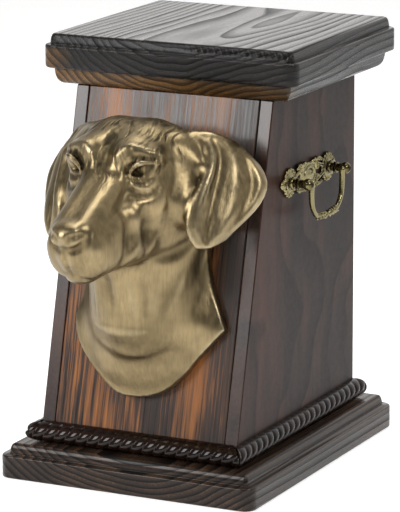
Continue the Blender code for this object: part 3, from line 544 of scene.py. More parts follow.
ropeWood = makeWood("ropeWood", **ropeFinish)

# Metal finishes

bronzeFinish = {
    "metal": (0.275, 0.210, 0.112), "patina": (0.046, 0.036, 0.020), "bright": (0.62, 0.53, 0.35),
    "mottle": 48.0, "amount": 0.26, "gain": 0.66, "dullness": 0.02, "reliefDepth": 0.00030, "hair": 1.0,
}
brassFinish = {
    "metal": (0.125, 0.100, 0.042), "patina": (0.006, 0.0045, 0.0025), "bright": (0.40, 0.35, 0.18),
    "mottle": 260.0, "amount": 0.15, "gain": 2.6, "dullness": -0.08, "reliefDepth": 0.00004, "hair": 0.0,
}


def makeCastMetal(name, metal, patina, bright, mottle, amount, gain, dullness, reliefDepth, hair):
    material, tree, shader = newMaterial(name, Metallic=1.0)
    place = put(tree, "ShaderNodeTexCoord").outputs["Object"]
    recess = put(tree, "ShaderNodeAttribute", attribute_name="recess").outputs["Fac"]
    made = useGroup(
        tree, castPatina, Place=place, Recess=recess,
        Metal=(*metal, 1), Patina=(*patina, 1), Bright=(*bright, 1),
        Mottle_Scale=mottle, Mottle_Amount=amount, Recess_Gain=gain, Dullness=dullness, Hair=hair,
    )
    tree.links.new(made["Colour"], shader.inputs["Base Color"])
    tree.links.new(made["Roughness"], shader.inputs["Roughness"])
    bump = put(tree, "ShaderNodeBump", {"Height": made["Relief"], "Strength": 1.0, "Distance": reliefDepth})
    tree.links.new(bump.outputs[0], shader.inputs["Normal"])
    return material


bronze = makeCastMetal("castBronze", **bronzeFinish)
brass = makeCastMetal("antiqueBrass", **brassFinish)
print("finishes made")


# Meshes

def meshFrom(name, points, faces):
    mesh = bpy.data.meshes.new(name)
    mesh.from_pydata([tuple(p) for p in points], [], [tuple(f) for f in faces])
    mesh.validate()
    work = bmesh.new()
    work.from_mesh(mesh)
    bmesh.ops.recalc_face_normals(work, faces=work.faces)
    work.to_mesh(mesh)
    work.free()
    return mesh


def addPiece(name, mesh, material, body, nodes, sharpAngle=40):
    piece = bpy.data.objects.new(name, mesh)
    bpy.context.scene.collection.objects.link(piece)
    mesh.materials.append(material)
    mesh.shade_smooth()
    mesh.set_sharp_from_angle(angle=math.radians(sharpAngle))
    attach(piece, body)
    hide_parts(*nodes)
    return piece


def roundedRing(box, inset, z, corner, cornerSteps=8, spacing=0.0012):
    # points round a box drawn in by the inset, close enough together to carry carved grain
    x0, x1, y0, y1 = box
    radius = max(corner - inset, 0.0006)
    centres = (
        (x1 - inset - radius, y1 - inset - radius, 0),
        (x0 + inset + radius, y1 - inset - radius, 90),
        (x0 + inset + radius, y0 + inset + radius, 180),
        (x1 - inset - radius, y0 + inset + radius, 270),
    )
    ring = []
    for index, (cx, cy, start) in enumerate(centres):
        for i in range(cornerSteps + 1):
            a = math.radians(start + 90 * i / cornerSteps)
            ring.append((cx + radius * math.cos(a), cy + radius * math.sin(a), z))
        nx, ny, nextStart = centres[(index + 1) % 4]
        a = math.radians(nextStart)
        stop = (nx + radius * math.cos(a), ny + radius * math.sin(a))
        count = int(((x1 - x0) if index % 2 == 0 else (y1 - y0)) / spacing)
        first = ring[-1]
        for i in range(1, count):
            share = i / count
            ring.append((first[0] + (stop[0] - first[0]) * share, first[1] + (stop[1] - first[1]) * share, z))
    return ring


def loft(name, rings, relief=None):
    count = len(rings[0])
    points = np.array([p for ring in rings for p in ring])
    faces = []
    for r in range(len(rings) - 1):
        for i in range(count):
            j = (i + 1) % count
            faces.append((r * count + i, r * count + j, (r + 1) * count + j, (r + 1) * count + i))
    last = (len(rings) - 1) * count
    faces += [tuple(reversed(range(count))), tuple(range(last, last + count))]
    mesh = meshFrom(name, points, faces)
    if relief:
        normals = np.zeros(len(points) * 3)
        mesh.vertices.foreach_get("normal", normals)
        normals = normals.reshape(-1, 3)
        depth = np.array([relief(p) for p in points])
        mesh.vertices.foreach_set("co", (points - normals * depth[:, None]).reshape(-1))
    return mesh


def roundProfile(inset, z, run, rise, steps=8):
    angles = [math.pi / 2 * i / steps for i in range(steps + 1)]
    return [(inset + run * (1 - math.cos(a)), z + rise * math.sin(a)) for a in angles]


def edgeProfile(inset, z, radius, steps=3):
    # a small round over the upper arris
    angles = [math.pi / 2 * i / steps for i in range(steps + 1)]
    return [(inset + radius * (1 - math.cos(a)), z - radius + radius * math.sin(a)) for a in angles]


def beadTeeth(rule):
    # brushed growth rings run out over the front bead as small saw teeth
    softEdge = 0.002
    strengthening = 0.02

    def worn(point):
        x, y, z = point
        near = min(1.0, max(0.0, (rule["frontY"] - y) / softEdge))
        near *= min(1.0, max(0.0, (z - rule["fromZ"]) / softEdge))
        if near <= 0:
            return 0.0
        strength = 0.25 + 0.75 * min(1.0, max(0.0, (x - rule["strongX"]) / strengthening))
        drift = noise.noise(Vector((x * 60, 0.0, 2.0))) * 0.4
        phase = (x / rule["spacing"] + (z - rule["fromZ"]) / 0.006 + drift) % 1.0
        return rule["depth"] * near * strength * min(phase / 0.3, (1 - phase) / 0.7)

    return worn


base = {
    "baseTop": urn["baseThickness"],
    "box": (-0.0905, 0.0905, -0.112, 0.112),
    "corner": 0.008,
    "band": 0.015,
    "step": 0.0052,
    "ovolo": 0.0034,
    "arris": 0.0011,
}


def makeBase():
    b = base
    profile = [(b["arris"], 0), (b["arris"] * 0.3, b["arris"] * 0.3), (0, b["arris"])]
    profile += [(0, b["band"] * share) for share in (0.25, 0.5, 0.75)]
    profile += edgeProfile(0, b["band"], b["arris"])
    profile += [(b["step"] - 0.0003, b["band"]), (b["step"], b["band"] + 0.0003)]
    profile += roundProfile(b["step"], b["band"] + 0.0006, b["ovolo"], b["baseTop"] - b["band"] - 0.0006)
    profile.append((profile[-1][0] + 0.0008, profile[-1][1]))
    profile.insert(0, (profile[0][0] + 0.0008, 0))
    rings = [roundedRing(b["box"], inset, z, b["corner"]) for inset, z in profile]
    mesh = loft("baseBoard", rings)
    return addPiece("baseBoard", mesh, baseWood, "urn", ["base_board"], 50)


makeBase()

lid = {
    "box": (-0.090, 0.090, -0.048, 0.115),
    "corner": 0.008,
    "thickness": 0.033,
    "underRise": 0.011,
    "underStep": 0.0058,
    "underOvolo": 0.0056,
    "band": 0.015,
    "topStep": 0.0034,
    "bead": 0.0028,
    "arris": 0.0012,
    "plug": (-0.0602, 0.0602, -0.02592, 0.0802),
    "plugDepth": 0.006,
    "teeth": {"frontY": -0.0425, "fromZ": 0.2745, "strongX": 0.005, "spacing": 0.0043, "depth": 0.0023},
}


def resampledRing(ring, count):
    places = np.linspace(0, len(ring), count, endpoint=False)
    closed = ring + ring[:1]
    made = []
    for place in places:
        i = int(place)
        share = place - i
        made.append(tuple(a + (b - a) * share for a, b in zip(closed[i], closed[i + 1])))
    return made


def makeLid():
    l = lid
    bandFoot = lidZ + l["underRise"]
    bandTop = bandFoot + l["band"]
    under = roundProfile(l["underStep"], 0, l["underOvolo"], l["underRise"])
    profile = [(inset, bandFoot - drop) for inset, drop in reversed(under)]
    arris = l["arris"]
    profile += [(arris, bandFoot), (arris * 0.3, bandFoot + arris * 0.3), (0, bandFoot + arris)]
    profile += [(0, bandFoot + l["band"] * share) for share in (0.25, 0.5, 0.75)]
    profile += edgeProfile(0, bandTop, arris)
    profile += [(l["topStep"] - 0.0002, bandTop), (l["topStep"], bandTop + 0.0003)]
    beadRise = lidZ + l["thickness"] - bandTop - 0.0006
    profile += roundProfile(l["topStep"], bandTop + 0.0006, l["bead"], beadRise)
    profile.append((profile[-1][0] + 0.0008, profile[-1][1]))
    rings = [roundedRing(l["plug"], 0, z, 0.002) for z in (lidZ - l["plugDepth"], lidZ)]
    most = len(roundedRing(l["box"], 0, 0, l["corner"]))
    outer = [roundedRing(l["box"], inset, z, l["corner"]) for inset, z in profile]
    plugRing = resampledRing(rings[0], most), resampledRing(rings[1], most)
    mesh = loft("lidBoard", [*plugRing, *outer], beadTeeth(l["teeth"]))
    return addPiece("lidBoard", mesh, lidWood, "urn", ["lid"], 50)


makeLid()


# flat boards, with arrises eased by sanding

board = {"arris": 0.0007, "arrisSteps": 3}


def frontY(z):
    return urn["frontFootY"] + slopeRun * (z - urn["baseThickness"])


def makeBoard(name, outline, x0, x1, material, node):
    mesh = loft(name, [[(x, y, z) for y, z in outline] for x in (x0, x1)])
    piece = addPiece(name, mesh, material, "urn", [node], 30)
    bevel = piece.modifiers.new("eased", "BEVEL")
    bevel.width = board["arris"]
    bevel.segments = board["arrisSteps"]
    bevel.limit_method = "ANGLE"
    return piece


def makeBoards():
    inner = urn["halfWidth"] - urn["boardThickness"]
    back = urn["backY"]
    side = [(frontY(wallFootZ), wallFootZ), (back, wallFootZ), (back, wallTopZ), (frontY(wallTopZ), wallTopZ)]
    makeBoard("sideBoardRight", side, inner, urn["halfWidth"], sideWood, "side_board_right")
    makeBoard("sideBoardLeft", side, -urn["halfWidth"], -inner, sideWood, "side_board_left")
    depth = urn["boardThickness"] / math.cos(tilt)
    front = [
        (frontY(wallFootZ), wallFootZ),
        (frontY(wallFootZ) + depth, wallFootZ),
        (frontY(wallTopZ) + depth, wallTopZ),
        (frontY(wallTopZ), wallTopZ),
    ]
    fit = inner - urn["gap"]
    makeBoard("frontPanel", front, -fit, fit, panelWood, "front_panel")
    inside = back - urn["boardThickness"]
    rear = [(inside, wallFootZ), (back, wallFootZ), (back, wallTopZ), (inside, wallTopZ)]
    makeBoard("backPanel", rear, -fit, fit, sideWood, "back_panel")


makeBoards()

# rope mouldings: half-round strands twisted round a cord that is glued into the corner
rope = {
    "height": 0.013,
    "reach": 0.0072,
    "pitch": 0.008,
    "groove": 0.0019,
    "lean": 0.0068,
    "columns": 14,
    "steps": 20,
}


def makeRope(name, halfLength, leanBack, place, turn, node):
    middle = rope["height"] / 2
    reach = rope["reach"]
    columns = int((halfLength + 0.02) / rope["pitch"] * rope["columns"])
    points, faces = [], []
    for c in range(-columns, columns + 1):
        for s in range(rope["steps"] + 1):
            angle = math.pi * s / rope["steps"]
            across = s / rope["steps"] - 0.5
            x = c * rope["pitch"] / rope["columns"]
            curl = rope["lean"] * (across + 0.13 * math.sin(2 * math.pi * across))
            phase = ((x - curl) / rope["pitch"]) % 1.0
            strand = math.sqrt(max(0.0, 1 - (2 * phase - 1) ** 2 * 0.98))
            cut = rope["groove"] * (1 - strand) * math.sin(angle) ** 0.6
            swell = 1 - cut / reach
            rise = middle - (middle - cut * 0.5) * math.cos(angle)
            points.append((x, -reach * swell * math.sin(angle) + leanBack * rise, rise))
    width = rope["steps"] + 1
    for c in range(2 * columns):
        for s in range(rope["steps"]):
            a = c * width + s
            faces.append((a, a + 1, a + width + 1, a + width))
        faces.append((c * width, (c + 1) * width, (c + 1) * width + width - 1, c * width + width - 1))
    faces += [tuple(range(width)), tuple(reversed(range(2 * columns * width, 2 * columns * width + width)))]
    mesh = meshFrom(name, points, faces)
    work = bmesh.new()
    work.from_mesh(mesh)
    for end in (1, -1):
        cut = bmesh.ops.bisect_plane(
            work, geom=work.verts[:] + work.edges[:] + work.faces[:], dist=1e-7,
            plane_co=(end * (halfLength - urn["gap"] / 2), 0, 0), plane_no=(end, 1, 0), clear_outer=True,
        )
        rim = [e for e in cut["geom_cut"] if isinstance(e, bmesh.types.BMEdge)]
        bmesh.ops.contextual_create(work, geom=rim)
    bmesh.ops.recalc_face_normals(work, faces=work.faces)
    spin = np.array([(math.cos(turn), -math.sin(turn)), (math.sin(turn), math.cos(turn))])
    for vert in work.verts:
        x, y = spin @ np.array(vert.co[:2])
        vert.co = (x + place[0], y + place[1], vert.co.z + wallFootZ)
    work.to_mesh(mesh)
    work.free()
    return addPiece(name, mesh, ropeWood, "urn", [node], 70)


def makeRopes():
    halfDepth = (urn["backY"] - urn["frontFootY"]) / 2
    middleY = (urn["backY"] + urn["frontFootY"]) / 2
    seats = (
        ("Front", halfDepth, 0, urn["halfWidth"], slopeRun, "front"),
        ("Right", urn["halfWidth"], 90, halfDepth, 0, "right"),
        ("Back", halfDepth, 180, urn["halfWidth"], 0, "back"),
        ("Left", urn["halfWidth"], 270, halfDepth, 0, "left"),
    )
    for label, offset, degrees, halfLength, leanBack, side in seats:
        turn = math.radians(degrees)
        out = offset + urn["gap"]
        place = (out * math.sin(turn), middleY - out * math.cos(turn))
        makeRope(f"ropeMoulding{label}", halfLength, leanBack, place, turn, f"rope_moulding_{side}")


makeRopes()
print("woodwork made")


# Cast work: a grid of distances, built up like clay from blended forms and then skinned

flatAxes = np.eye(3)


def lineDistance(grid, start, end):
    # distance to a line, and the share of the line where it is nearest
    along = np.subtract(end, start)
    offset = [g - s for g, s in zip(grid, start)]
    share = np.clip(sum(a * o for a, o in zip(along, offset)) / max(along @ along, 1e-9), 0, 1)
    return np.sqrt(sum((o - share * a) ** 2 for a, o in zip(along, offset))), share


def rodDistance(grid, start, end, startRadius, endRadius):
    distance, share = lineDistance(grid, start, end)
    return distance - startRadius - (endRadius - startRadius) * share


class Clay:
    def __init__(self, low, high, grain):
        self.grain = grain
        self.low = np.array(low, float)
        self.axes = [np.arange(a, b + grain / 2, grain) for a, b in zip(low, high)]
        self.depth = np.full([len(axis) for axis in self.axes], 60.0, np.float32)

    def window(self, low, high):
        part = []
        for axis, first, a, b in zip(self.axes, self.low, low, high):
            start = int(np.clip(math.floor((a - first) / self.grain), 0, len(axis)))
            stop = int(np.clip(math.ceil((b - first) / self.grain) + 1, start, len(axis)))
            part.append(slice(start, stop))
        local = [axis[p].astype(np.float32) for axis, p in zip(self.axes, part)]
        return tuple(part), np.meshgrid(*local, indexing="ij", sparse=True)

    def merge(self, part, distance, blend, carve=False):
        here = self.depth[part]
        sign = -1 if carve else 1
        other = sign * here
        fillet = np.maximum(blend - np.abs(other - distance), 0) ** 2 / (4 * max(blend, 1e-6))
        self.depth[part] = sign * (np.minimum(other, distance) - fillet)

    def ball(self, centre, radii, axes, blend, carve=False):
        reach = max(radii) + 18
        part, grid = self.window(np.subtract(centre, reach), np.add(centre, reach))
        offset = [g - c for g, c in zip(grid, centre)]
        local = [sum(a * o for a, o in zip(axis, offset)) for axis in axes]
        near = np.sqrt(sum((v / r) ** 2 for v, r in zip(local, radii)))
        far = np.sqrt(sum((v / r**2) ** 2 for v, r in zip(local, radii)))
        self.merge(part, near * (near - 1) / np.maximum(far, 1e-6), blend, carve)

    def limb(self, start, end, startRadius, endRadius, blend, carve=False):
        reach = max(startRadius, endRadius) + 18
        part, grid = self.window(np.minimum(start, end) - reach, np.maximum(start, end) + reach)
        self.merge(part, rodDistance(grid, start, end, startRadius, endRadius), blend, carve)

    def sheet(self, rows, blend):
        # rods side by side, merged as one form; each row holds (x, y, z, radius) across the sheet
        reach = rows[..., 3].max() + 12
        places = rows[..., :3]
        part, _ = self.window(places.min(axis=(0, 1)) - reach, places.max(axis=(0, 1)) + reach)
        distance = np.full(self.depth[part].shape, 60.0, np.float32)
        corner = [p.start for p in part]
        for first, second in zip(rows[:-1], rows[1:]):
            for a, b in zip(first, second):
                near = np.minimum(a[:3], b[:3]) - 14, np.maximum(a[:3], b[:3]) + 14
                piece, local = self.window(*near)
                inner = tuple(
                    slice(max(p.start - c, 0), max(min(p.stop - c, n), 0))
                    for p, c, n in zip(piece, corner, distance.shape)
                )
                local = [
                    np.take(g, range(c + i.start - p.start, c + i.stop - p.start), axis=k)
                    for k, (g, p, c, i) in enumerate(zip(local, piece, corner, inner))
                ]
                distance[inner] = np.minimum(distance[inner], rodDistance(local, a[:3], b[:3], a[3], b[3]))
        self.merge(part, distance, blend)

    def slab(self, outline, rim, rise, run, blend):
        outline = np.array(outline, float)
        low, high = outline.min(axis=0) - 18, outline.max(axis=0) + 18
        part, grid = self.window((*low, -9), (*high, rim + rise + 18))
        across, up, out = grid
        nearest, inside = np.inf, False
        for a, b in zip(outline, np.roll(outline, -1, axis=0)):
            way = b - a
            share = np.clip(((across - a[0]) * way[0] + (up - a[1]) * way[1]) / (way @ way), 0, 1)
            apart = np.hypot(across - a[0] - share * way[0], up - a[1] - share * way[1])
            nearest = np.minimum(nearest, apart)
            if way[1]:
                beyond = across < a[0] + way[0] * (up - a[1]) / way[1]
                inside = inside ^ (((a[1] > up) != (b[1] > up)) & beyond)
        edge = np.where(inside, -nearest, nearest)
        within = np.maximum(-edge, 0)
        for _ in range(round((head["slabSoftness"] / self.grain) ** 2)):
            within = (within + np.roll(within, 1, 0) + np.roll(within, -1, 0)) / 3
            within = (within + np.roll(within, 1, 1) + np.roll(within, -1, 1)) / 3
        top = out - rim - rise * (1 - np.exp(-within / run))
        self.merge(part, np.maximum(edge, top), blend, False)

    def stroke(self, course, width, height):
        # raises the surface softly along a course, or sinks it, thinner towards the ends
        places = np.array([self.onSurface(place) for place in course])
        reach = 2.5 * width + 2 * self.grain
        part, grid = self.window(places.min(axis=0) - reach, places.max(axis=0) + reach)
        lift = np.zeros(self.depth[part].shape, np.float32)
        count = len(places) - 1
        for i, (a, b) in enumerate(zip(places[:-1], places[1:])):
            away, share = lineDistance(grid, a, b)
            full = 1 - head["strokeTaper"] * (2 * (i + share) / count - 1) ** 2
            lift = np.maximum(lift, full * np.exp(-((away / (width * (0.5 + 0.5 * full))) ** 2)))
        self.depth[part] -= height * lift

    def depthAt(self, place):
        spot = np.clip((np.asarray(place) - self.low) / self.grain, 1, np.array(self.depth.shape) - 3)
        cell = spot.astype(int)
        share = spot - cell
        block = self.depth[tuple(slice(c, c + 2) for c in cell)].astype(float)
        weights = [np.array((1 - x, x)) for x in share]
        slopes = np.array((-1.0, 1.0))
        value = np.einsum("ijk,i,j,k", block, *weights)
        way = [np.einsum("ijk,i,j,k", block, *(weights[:a] + [slopes] + weights[a + 1 :])) for a in range(3)]
        return value, np.array(way) / max(np.linalg.norm(way), 1e-6)

    def onSurface(self, place):
        for _ in range(8):
            value, way = self.depthAt(place)
            place = place - np.clip(value, -3, 3) * way
        return place

    def closePinches(self):
        # fills grid squares whose opposite corners alone are inside, where the skin would touch itself
        for _ in range(12):
            found = 0
            for axis in range(3):
                planes = np.moveaxis(self.depth, axis, 0)
                a, b = planes[:, :-1, :-1], planes[:, 1:, 1:]
                c, d = planes[:, 1:, :-1], planes[:, :-1, 1:]
                for first, second, third, fourth in ((a, b, c, d), (c, d, a, b)):
                    pinched = (first < 0) & (second < 0) & (third >= 0) & (fourth >= 0)
                    third[pinched] = -0.3 * self.grain
                    found += pinched.sum()
            if not found:
                return

    def blurred(self, cells):
        # the mean of a cube of cells round each one
        total = self.depth
        for axis in range(3):
            before = np.repeat(total.take([0], axis), cells + 1, axis)
            after = np.repeat(total.take([-1], axis), cells, axis)
            padded = np.concatenate([before, total, after], axis)
            running = np.cumsum(padded, axis=axis, dtype=np.float64)
            count = total.shape[axis]
            wide = 2 * cells + 1
            upper = np.take(running, range(wide, wide + count), axis)
            lower = np.take(running, range(0, count), axis)
            total = ((upper - lower) / wide).astype(np.float32)
        return total

    def skin(self, smoothing=2):
        # points and four-sided faces on the zero surface, and how far each point lies in a recess
        self.closePinches()
        inside = self.depth < 0
        cells = [n - 1 for n in self.depth.shape]
        total = np.zeros(cells + [3], np.float32)
        hits = np.zeros(cells, np.float32)
        walls = []
        for axis in range(3):
            ahead = [slice(None)] * 3
            behind = [slice(None)] * 3
            ahead[axis], behind[axis] = slice(1, None), slice(0, -1)
            start = np.argwhere(inside[tuple(ahead)] != inside[tuple(behind)])
            stop = start.copy()
            stop[:, axis] += 1
            a, b = self.depth[tuple(start.T)], self.depth[tuple(stop.T)]
            crossing = start.astype(float)
            crossing[:, axis] += a / (a - b)
            across = [k for k in range(3) if k != axis]
            around = []
            for i, j in ((0, 0), (0, -1), (-1, -1), (-1, 0)):
                cell = start.copy()
                cell[:, across[0]] += i
                cell[:, across[1]] += j
                around.append(cell)
                np.add.at(total, tuple(cell.T), crossing)
                np.add.at(hits, tuple(cell.T), 1)
            walls.append((around, (a < 0) == (axis != 1)))
        used = hits > 0
        number = np.full(cells, -1)
        number[used] = np.arange(used.sum())
        spots = total[used] / hits[used][:, None]
        faces = []
        for around, turned in walls:
            ring = np.stack([number[tuple(cell.T)] for cell in around], axis=1)
            ring[turned] = ring[turned][:, ::-1]
            faces.append(ring)
        faces = np.concatenate(faces)
        place = tuple(np.round(spots).astype(int).clip(0, np.array(self.depth.shape) - 1).T)
        here = self.depth[place]
        recess = np.zeros(len(spots))
        for reach in (1.6, 4.5):
            cellsWide = max(1, round(reach / self.grain))
            recess += (here - self.blurred(cellsWide)[place]) / reach
        ends = np.concatenate([faces[:, [0, 1]], faces[:, [1, 2]], faces[:, [2, 3]], faces[:, [3, 0]]])
        for _ in range(smoothing):
            spots = evenedOut(spots, ends)
            recess = evenedOut(recess[:, None], ends)[:, 0]
        return self.low + self.grain * spots, faces, recess


def evenedOut(values, ends, share=0.5):
    # each point moved part of the way to the mean of its neighbours
    total = np.zeros_like(values)
    count = np.zeros(len(values))
    for a, b in ((0, 1), (1, 0)):
        for k in range(values.shape[1]):
            total[:, k] += np.bincount(ends[:, a], weights=values[ends[:, b], k], minlength=len(values))
        count += np.bincount(ends[:, a], minlength=len(values))
    return values * (1 - share) + share * total / np.maximum(count, 1)[:, None]


def smoothCourse(points, count):
    given = np.asarray(points, float)
    spans = len(given) - 1
    padded = np.vstack([2 * given[0] - given[1], given, 2 * given[-1] - given[-2]])
    course = []
    for place in np.linspace(0, spans, count):
        i = min(int(place), spans - 1)
        x = place - i
        a, b, c, d = padded[i : i + 4]
        bend = 2 * b + (c - a) * x + (2 * a - 5 * b + 4 * c - d) * x**2
        course.append(0.5 * (bend + (3 * b - a - 3 * c + d) * x**3))
    return np.array(course)


def skinMesh(name, points, faces, recess):
    mesh = bpy.data.meshes.new(name)
    mesh.vertices.add(len(points))
    mesh.vertices.foreach_set("co", np.asarray(points, np.float32).reshape(-1))
    mesh.loops.add(len(faces) * 4)
    mesh.loops.foreach_set("vertex_index", faces.astype(np.int32).reshape(-1))
    mesh.polygons.add(len(faces))
    mesh.polygons.foreach_set("loop_start", np.arange(0, len(faces) * 4, 4, dtype=np.int32))
    mesh.update(calc_edges=True)
    mesh.validate()
    mark = mesh.attributes.new("recess", "FLOAT", "POINT")
    mark.data.foreach_set("value", np.asarray(recess, np.float32))
    return mesh


# the casting, in parts of a relief that is 186 high, from the foot of the front panel
head = {
    "height": 0.186,
    "foot": 0.036,
    "parts": 186.0,
    "turn": math.radians(2),
    "drop": math.radians(41),
    "bridge": (-3.1, 180.1, 75.7),
    "leftEarTuck": 0.90,
    "leftEarSwing": 0.20,
    "bustRim": 5.4,
    "bustRise": 15,
    "bustRun": 17,
    "slabSoftness": 6,
    "strokeTaper": 0.7,
    "grain": 0.98,
}

# The head's own axes: to its left side, forwards along the muzzle and up through the brow
turnCos, turnSin = math.cos(head["turn"]), math.sin(head["turn"])
dropCos, dropSin = math.cos(head["drop"]), math.sin(head["drop"])
headAxes = np.array(
    [
        (turnCos, 0, turnSin),
        (-turnSin * dropCos, -dropSin, turnCos * dropCos),
        (-turnSin * dropSin, dropCos, turnCos * dropSin),
    ]
)

# Forms of the head on both sides of its middle plane: (side, forward, up), radii, blend
headBalls = (
    ("skull", (12, -27, -17), (23, 30, 26), 10),
    ("brow", (13, -10, 0), (14, 13, 12.5), 9),
    ("outer brow", (25, -11, 0), (8, 7, 6), 7),
    ("cheek", (21, -7, -26), (13, 24, 17), 9),
    ("jaw muscle", (18, -5, -43), (14, 21, 16), 8),
)
headLimbs = (
    ("ear root", (26, -40, -14), (44, -46, -17), 13, 7, 6),
    ("front of the ear root", (30, -35, -12), (47, -30, -20), 10, 5, 7),
    ("ear base", (30, -34, -18), (37, -12, -32), 14, 10, 5),
    ("under the ear", (28, -34, -24), (40, -10, -40), 13, 9, 8),
    ("bridge of the nose", (6.5, 4, -9), (6, 52, -9.5), 10, 8, 7),
    ("upper lip", (13, 14, -26), (8.5, 54, -20), 13, 10.5, 7),
    ("hanging lip", (17, 20, -44), (9, 53, -31), 11.5, 11.5, 8),
    ("lip corner", (20, 14, -46), (16, 24, -44), 8, 9, 5),
    ("lower jaw", (2, 20, -48), (0, 56, -35), 10, 9, 8),
)
noseBalls = (
    ("middle of the lip", (0, 57, -22), (9, 12, 12), 4),
    ("nose", (0, 58.5, -8), (9, 9.5, 7.5), 2),
    ("nostril wing", (6, 58.5, -7.5), (4.8, 8.5, 6.4), 2),
)
eyeSocket = ((24, 3, -0.5), (8.5, 6, 6.5), 3)
eyeball = ((23.3, -6.8, -1.1), (7.4, 7.4, 7.4), 0.3)

# Lids as thin rods round the opening of the eye: (side, forward, up, radius)
lids = (
    (
        (16.5, 4.4, -3.4, 1.2), (19.5, 2.6, 1.6, 1.6), (24.5, 0.6, 4.4, 2.0),
        (29, -3.0, 3.2, 1.7), (32.5, -7.2, -0.4, 1.1),
    ),
    (
        (16.5, 4.4, -3.4, 1.2), (19.8, 3.0, -5.6, 1.5), (24, 1.3, -6.8, 1.6),
        (28.6, -2.4, -5.0, 1.5), (32.5, -7.2, -0.4, 1.1),
    ),
)

# Courses of raised and sunk strokes: (side, forward, up) points, width, height over the surface
strokes = (
    (
        "brow ridge",
        ((6.5, 5, 4.5), (9, 1, 10), (15, -4, 14), (22, -6, 13), (29, -8, 9), (34, -12, 4)), 3.2, 1.7,
    ),
    (
        "crease over the lid",
        ((14.5, 4, -1), (17.5, 1, 5.5), (24.5, -2, 8.6), (30.5, -4.5, 6.6), (35, -7, 2)), 1.8, -1.5,
    ),
    ("eye bag", ((17, 5, -9), (22, 5, -11.5), (28, 2.5, -10.5), (33, -2, -6.5)), 2.6, 1.5),
    ("under the eye bag", ((14, 7, -9), (19, 7, -15.5), (26, 5, -17.5), (33, 0, -13)), 2.4, -1.7),
    ("beside the bridge", ((14, 4, -4), (13, 11, -9), (13, 22, -13), (13, 34, -13)), 3, -1.3),
    ("nostril", ((3.8, 68, -8), (5.5, 67.5, -4.8), (8, 65, -4.2), (10.5, 60, -6.5)), 2.0, -3.0),
    ("under the nose wing", ((2, 68, -14), (6.5, 66.5, -14.5), (10.5, 61, -13.5), (12, 54, -9)), 2.0, -0.9),
    (
        "edge of the lip",
        ((3, 70, -32), (8, 67, -38), (13, 60, -43), (19, 48, -50), (23, 34, -55), (26, 24, -59)), 1.8, -1.6,
    ),
    ("front cheek fold", ((18, 25, -13), (22, 29, -24), (24, 37, -34), (22, 48, -42)), 4.0, -2.4),
    ("rear cheek fold", ((26, 12, -22), (29, 17, -34), (29, 25, -47)), 4.0, -2.3),
    ("between the cheek folds", ((21, 19, -18), (26, 23, -29), (27, 32, -40)), 3.6, 1.5),
    ("cheekbone", ((36, -2, -14), (37, 4, -24), (35, 10, -34)), 5, 1.4),
    ("jaw crease", ((26, 18, -58), (32, 6, -62), (36, -6, -64), (38, -18, -64)), 4, -2.5),
)
middleStrokes = (
    ("furrow of the brow", ((0, -22, 15.5), (0, -8, 15), (0, 4, 7)), 3.6, -2.6),
    ("groove of the lip", ((0, 68, -10), (0, 69.5, -24), (0, 67, -36)), 1.6, -2.1),
)

# Courses down the neck and over the chest, in panel coordinates: (across, up, out)
neckStrokes = (
    ("left strand", ((-20, 114, 48), (-19, 100, 44), (-20, 84, 38)), 3.6, 1.2),
    ("hollow of the throat", ((-7, 114, 52), (-6, 104, 48), (-4, 92, 44)), 4.0, -2.6),
    ("middle strand", ((6, 114, 50), (9, 98, 45), (12, 84, 40)), 4.0, 1.0),
    ("hollow beside it", ((15, 112, 48), (17, 98, 43), (17, 88, 40)), 3.4, -0.8),
    ("right strand", ((24, 112, 46), (23, 98, 42), (21, 84, 38)), 4.0, 0.8),
    ("outer fold", ((42, 118, 30), (37, 104, 34), (29, 88, 34)), 5.0, 1.2),
    ("inside the outer fold", ((34, 116, 36), (30, 102, 37), (25, 90, 37)), 4.5, -0.9),
    ("collar bone", ((-23, 81, 30), (-8, 79.5, 36), (6, 79, 37), (16, 80.5, 34)), 3.4, 1.1),
    ("under the collar bone", ((-20, 73, 26), (-8, 71.5, 31), (6, 71, 32), (16, 72.5, 30)), 5.0, -0.8),
    ("edge of the chest", ((-7, 64.5, 26), (3, 64, 27), (13, 65.5, 25)), 3.4, 0.5),
)

# The cut edge of the bust on the panel, (across, up): down its right side to the corner,
# then round its foot
bustSide = ((31, 147), (36, 136), (39.5, 124), (44.6, 109), (50.3, 97), (55.4, 85))
bustFoot = (
    (55.4, 85),
    (47.7, 75.6),
    (38.2, 64),
    (31.3, 54.8),
    (21.5, 44.6),
    (11.3, 39),
    (-2, 36.2),
    (-16.5, 38.1),
    (-32.6, 50.9),
    (-45.4, 66),
    (-50.3, 82),
    (-46.5, 96),
    (-44, 112),
    (-38, 140),
)

# Ribs of the ear from its front edge to its back edge: (side, forward, up, half thickness)
earHinge = 36
earRibs = (
    (
        (38, -46, -8, 3),
        (47, -42, -13, 3.2),
        (52, -33, -18, 3.0),
        (52, -20, -24, 2.8),
        (49, -6, -32, 2.7),
        (48, 3, -42, 2.7),
        (53, 6, -52, 2.6),
    ),
    (
        (47, -50, -12, 4),
        (55, -44, -19, 3.6),
        (59, -34, -26, 3.0),
        (60, -22, -35, 2.8),
        (61, -11, -43, 2.8),
        (60, -2, -50, 2.6),
        (58, 3, -54, 2.4),
    ),
    (
        (57, -55, -21, 3.6),
        (66, -50, -28, 3.8),
        (71, -42, -36, 3.6),
        (72, -33, -43, 3.4),
        (70, -22, -48, 3),
        (66, -11, -52, 2.6),
        (61, -2, -55, 2.4),
    ),
    (
        (63, -56, -29, 3),
        (71, -53, -35, 3),
        (77, -47, -41, 2.8),
        (77, -40, -46, 2.8),
        (74, -31, -50, 2.6),
        (69, -20, -53, 2.4),
        (64, -8, -56, 2.2),
    ),
)

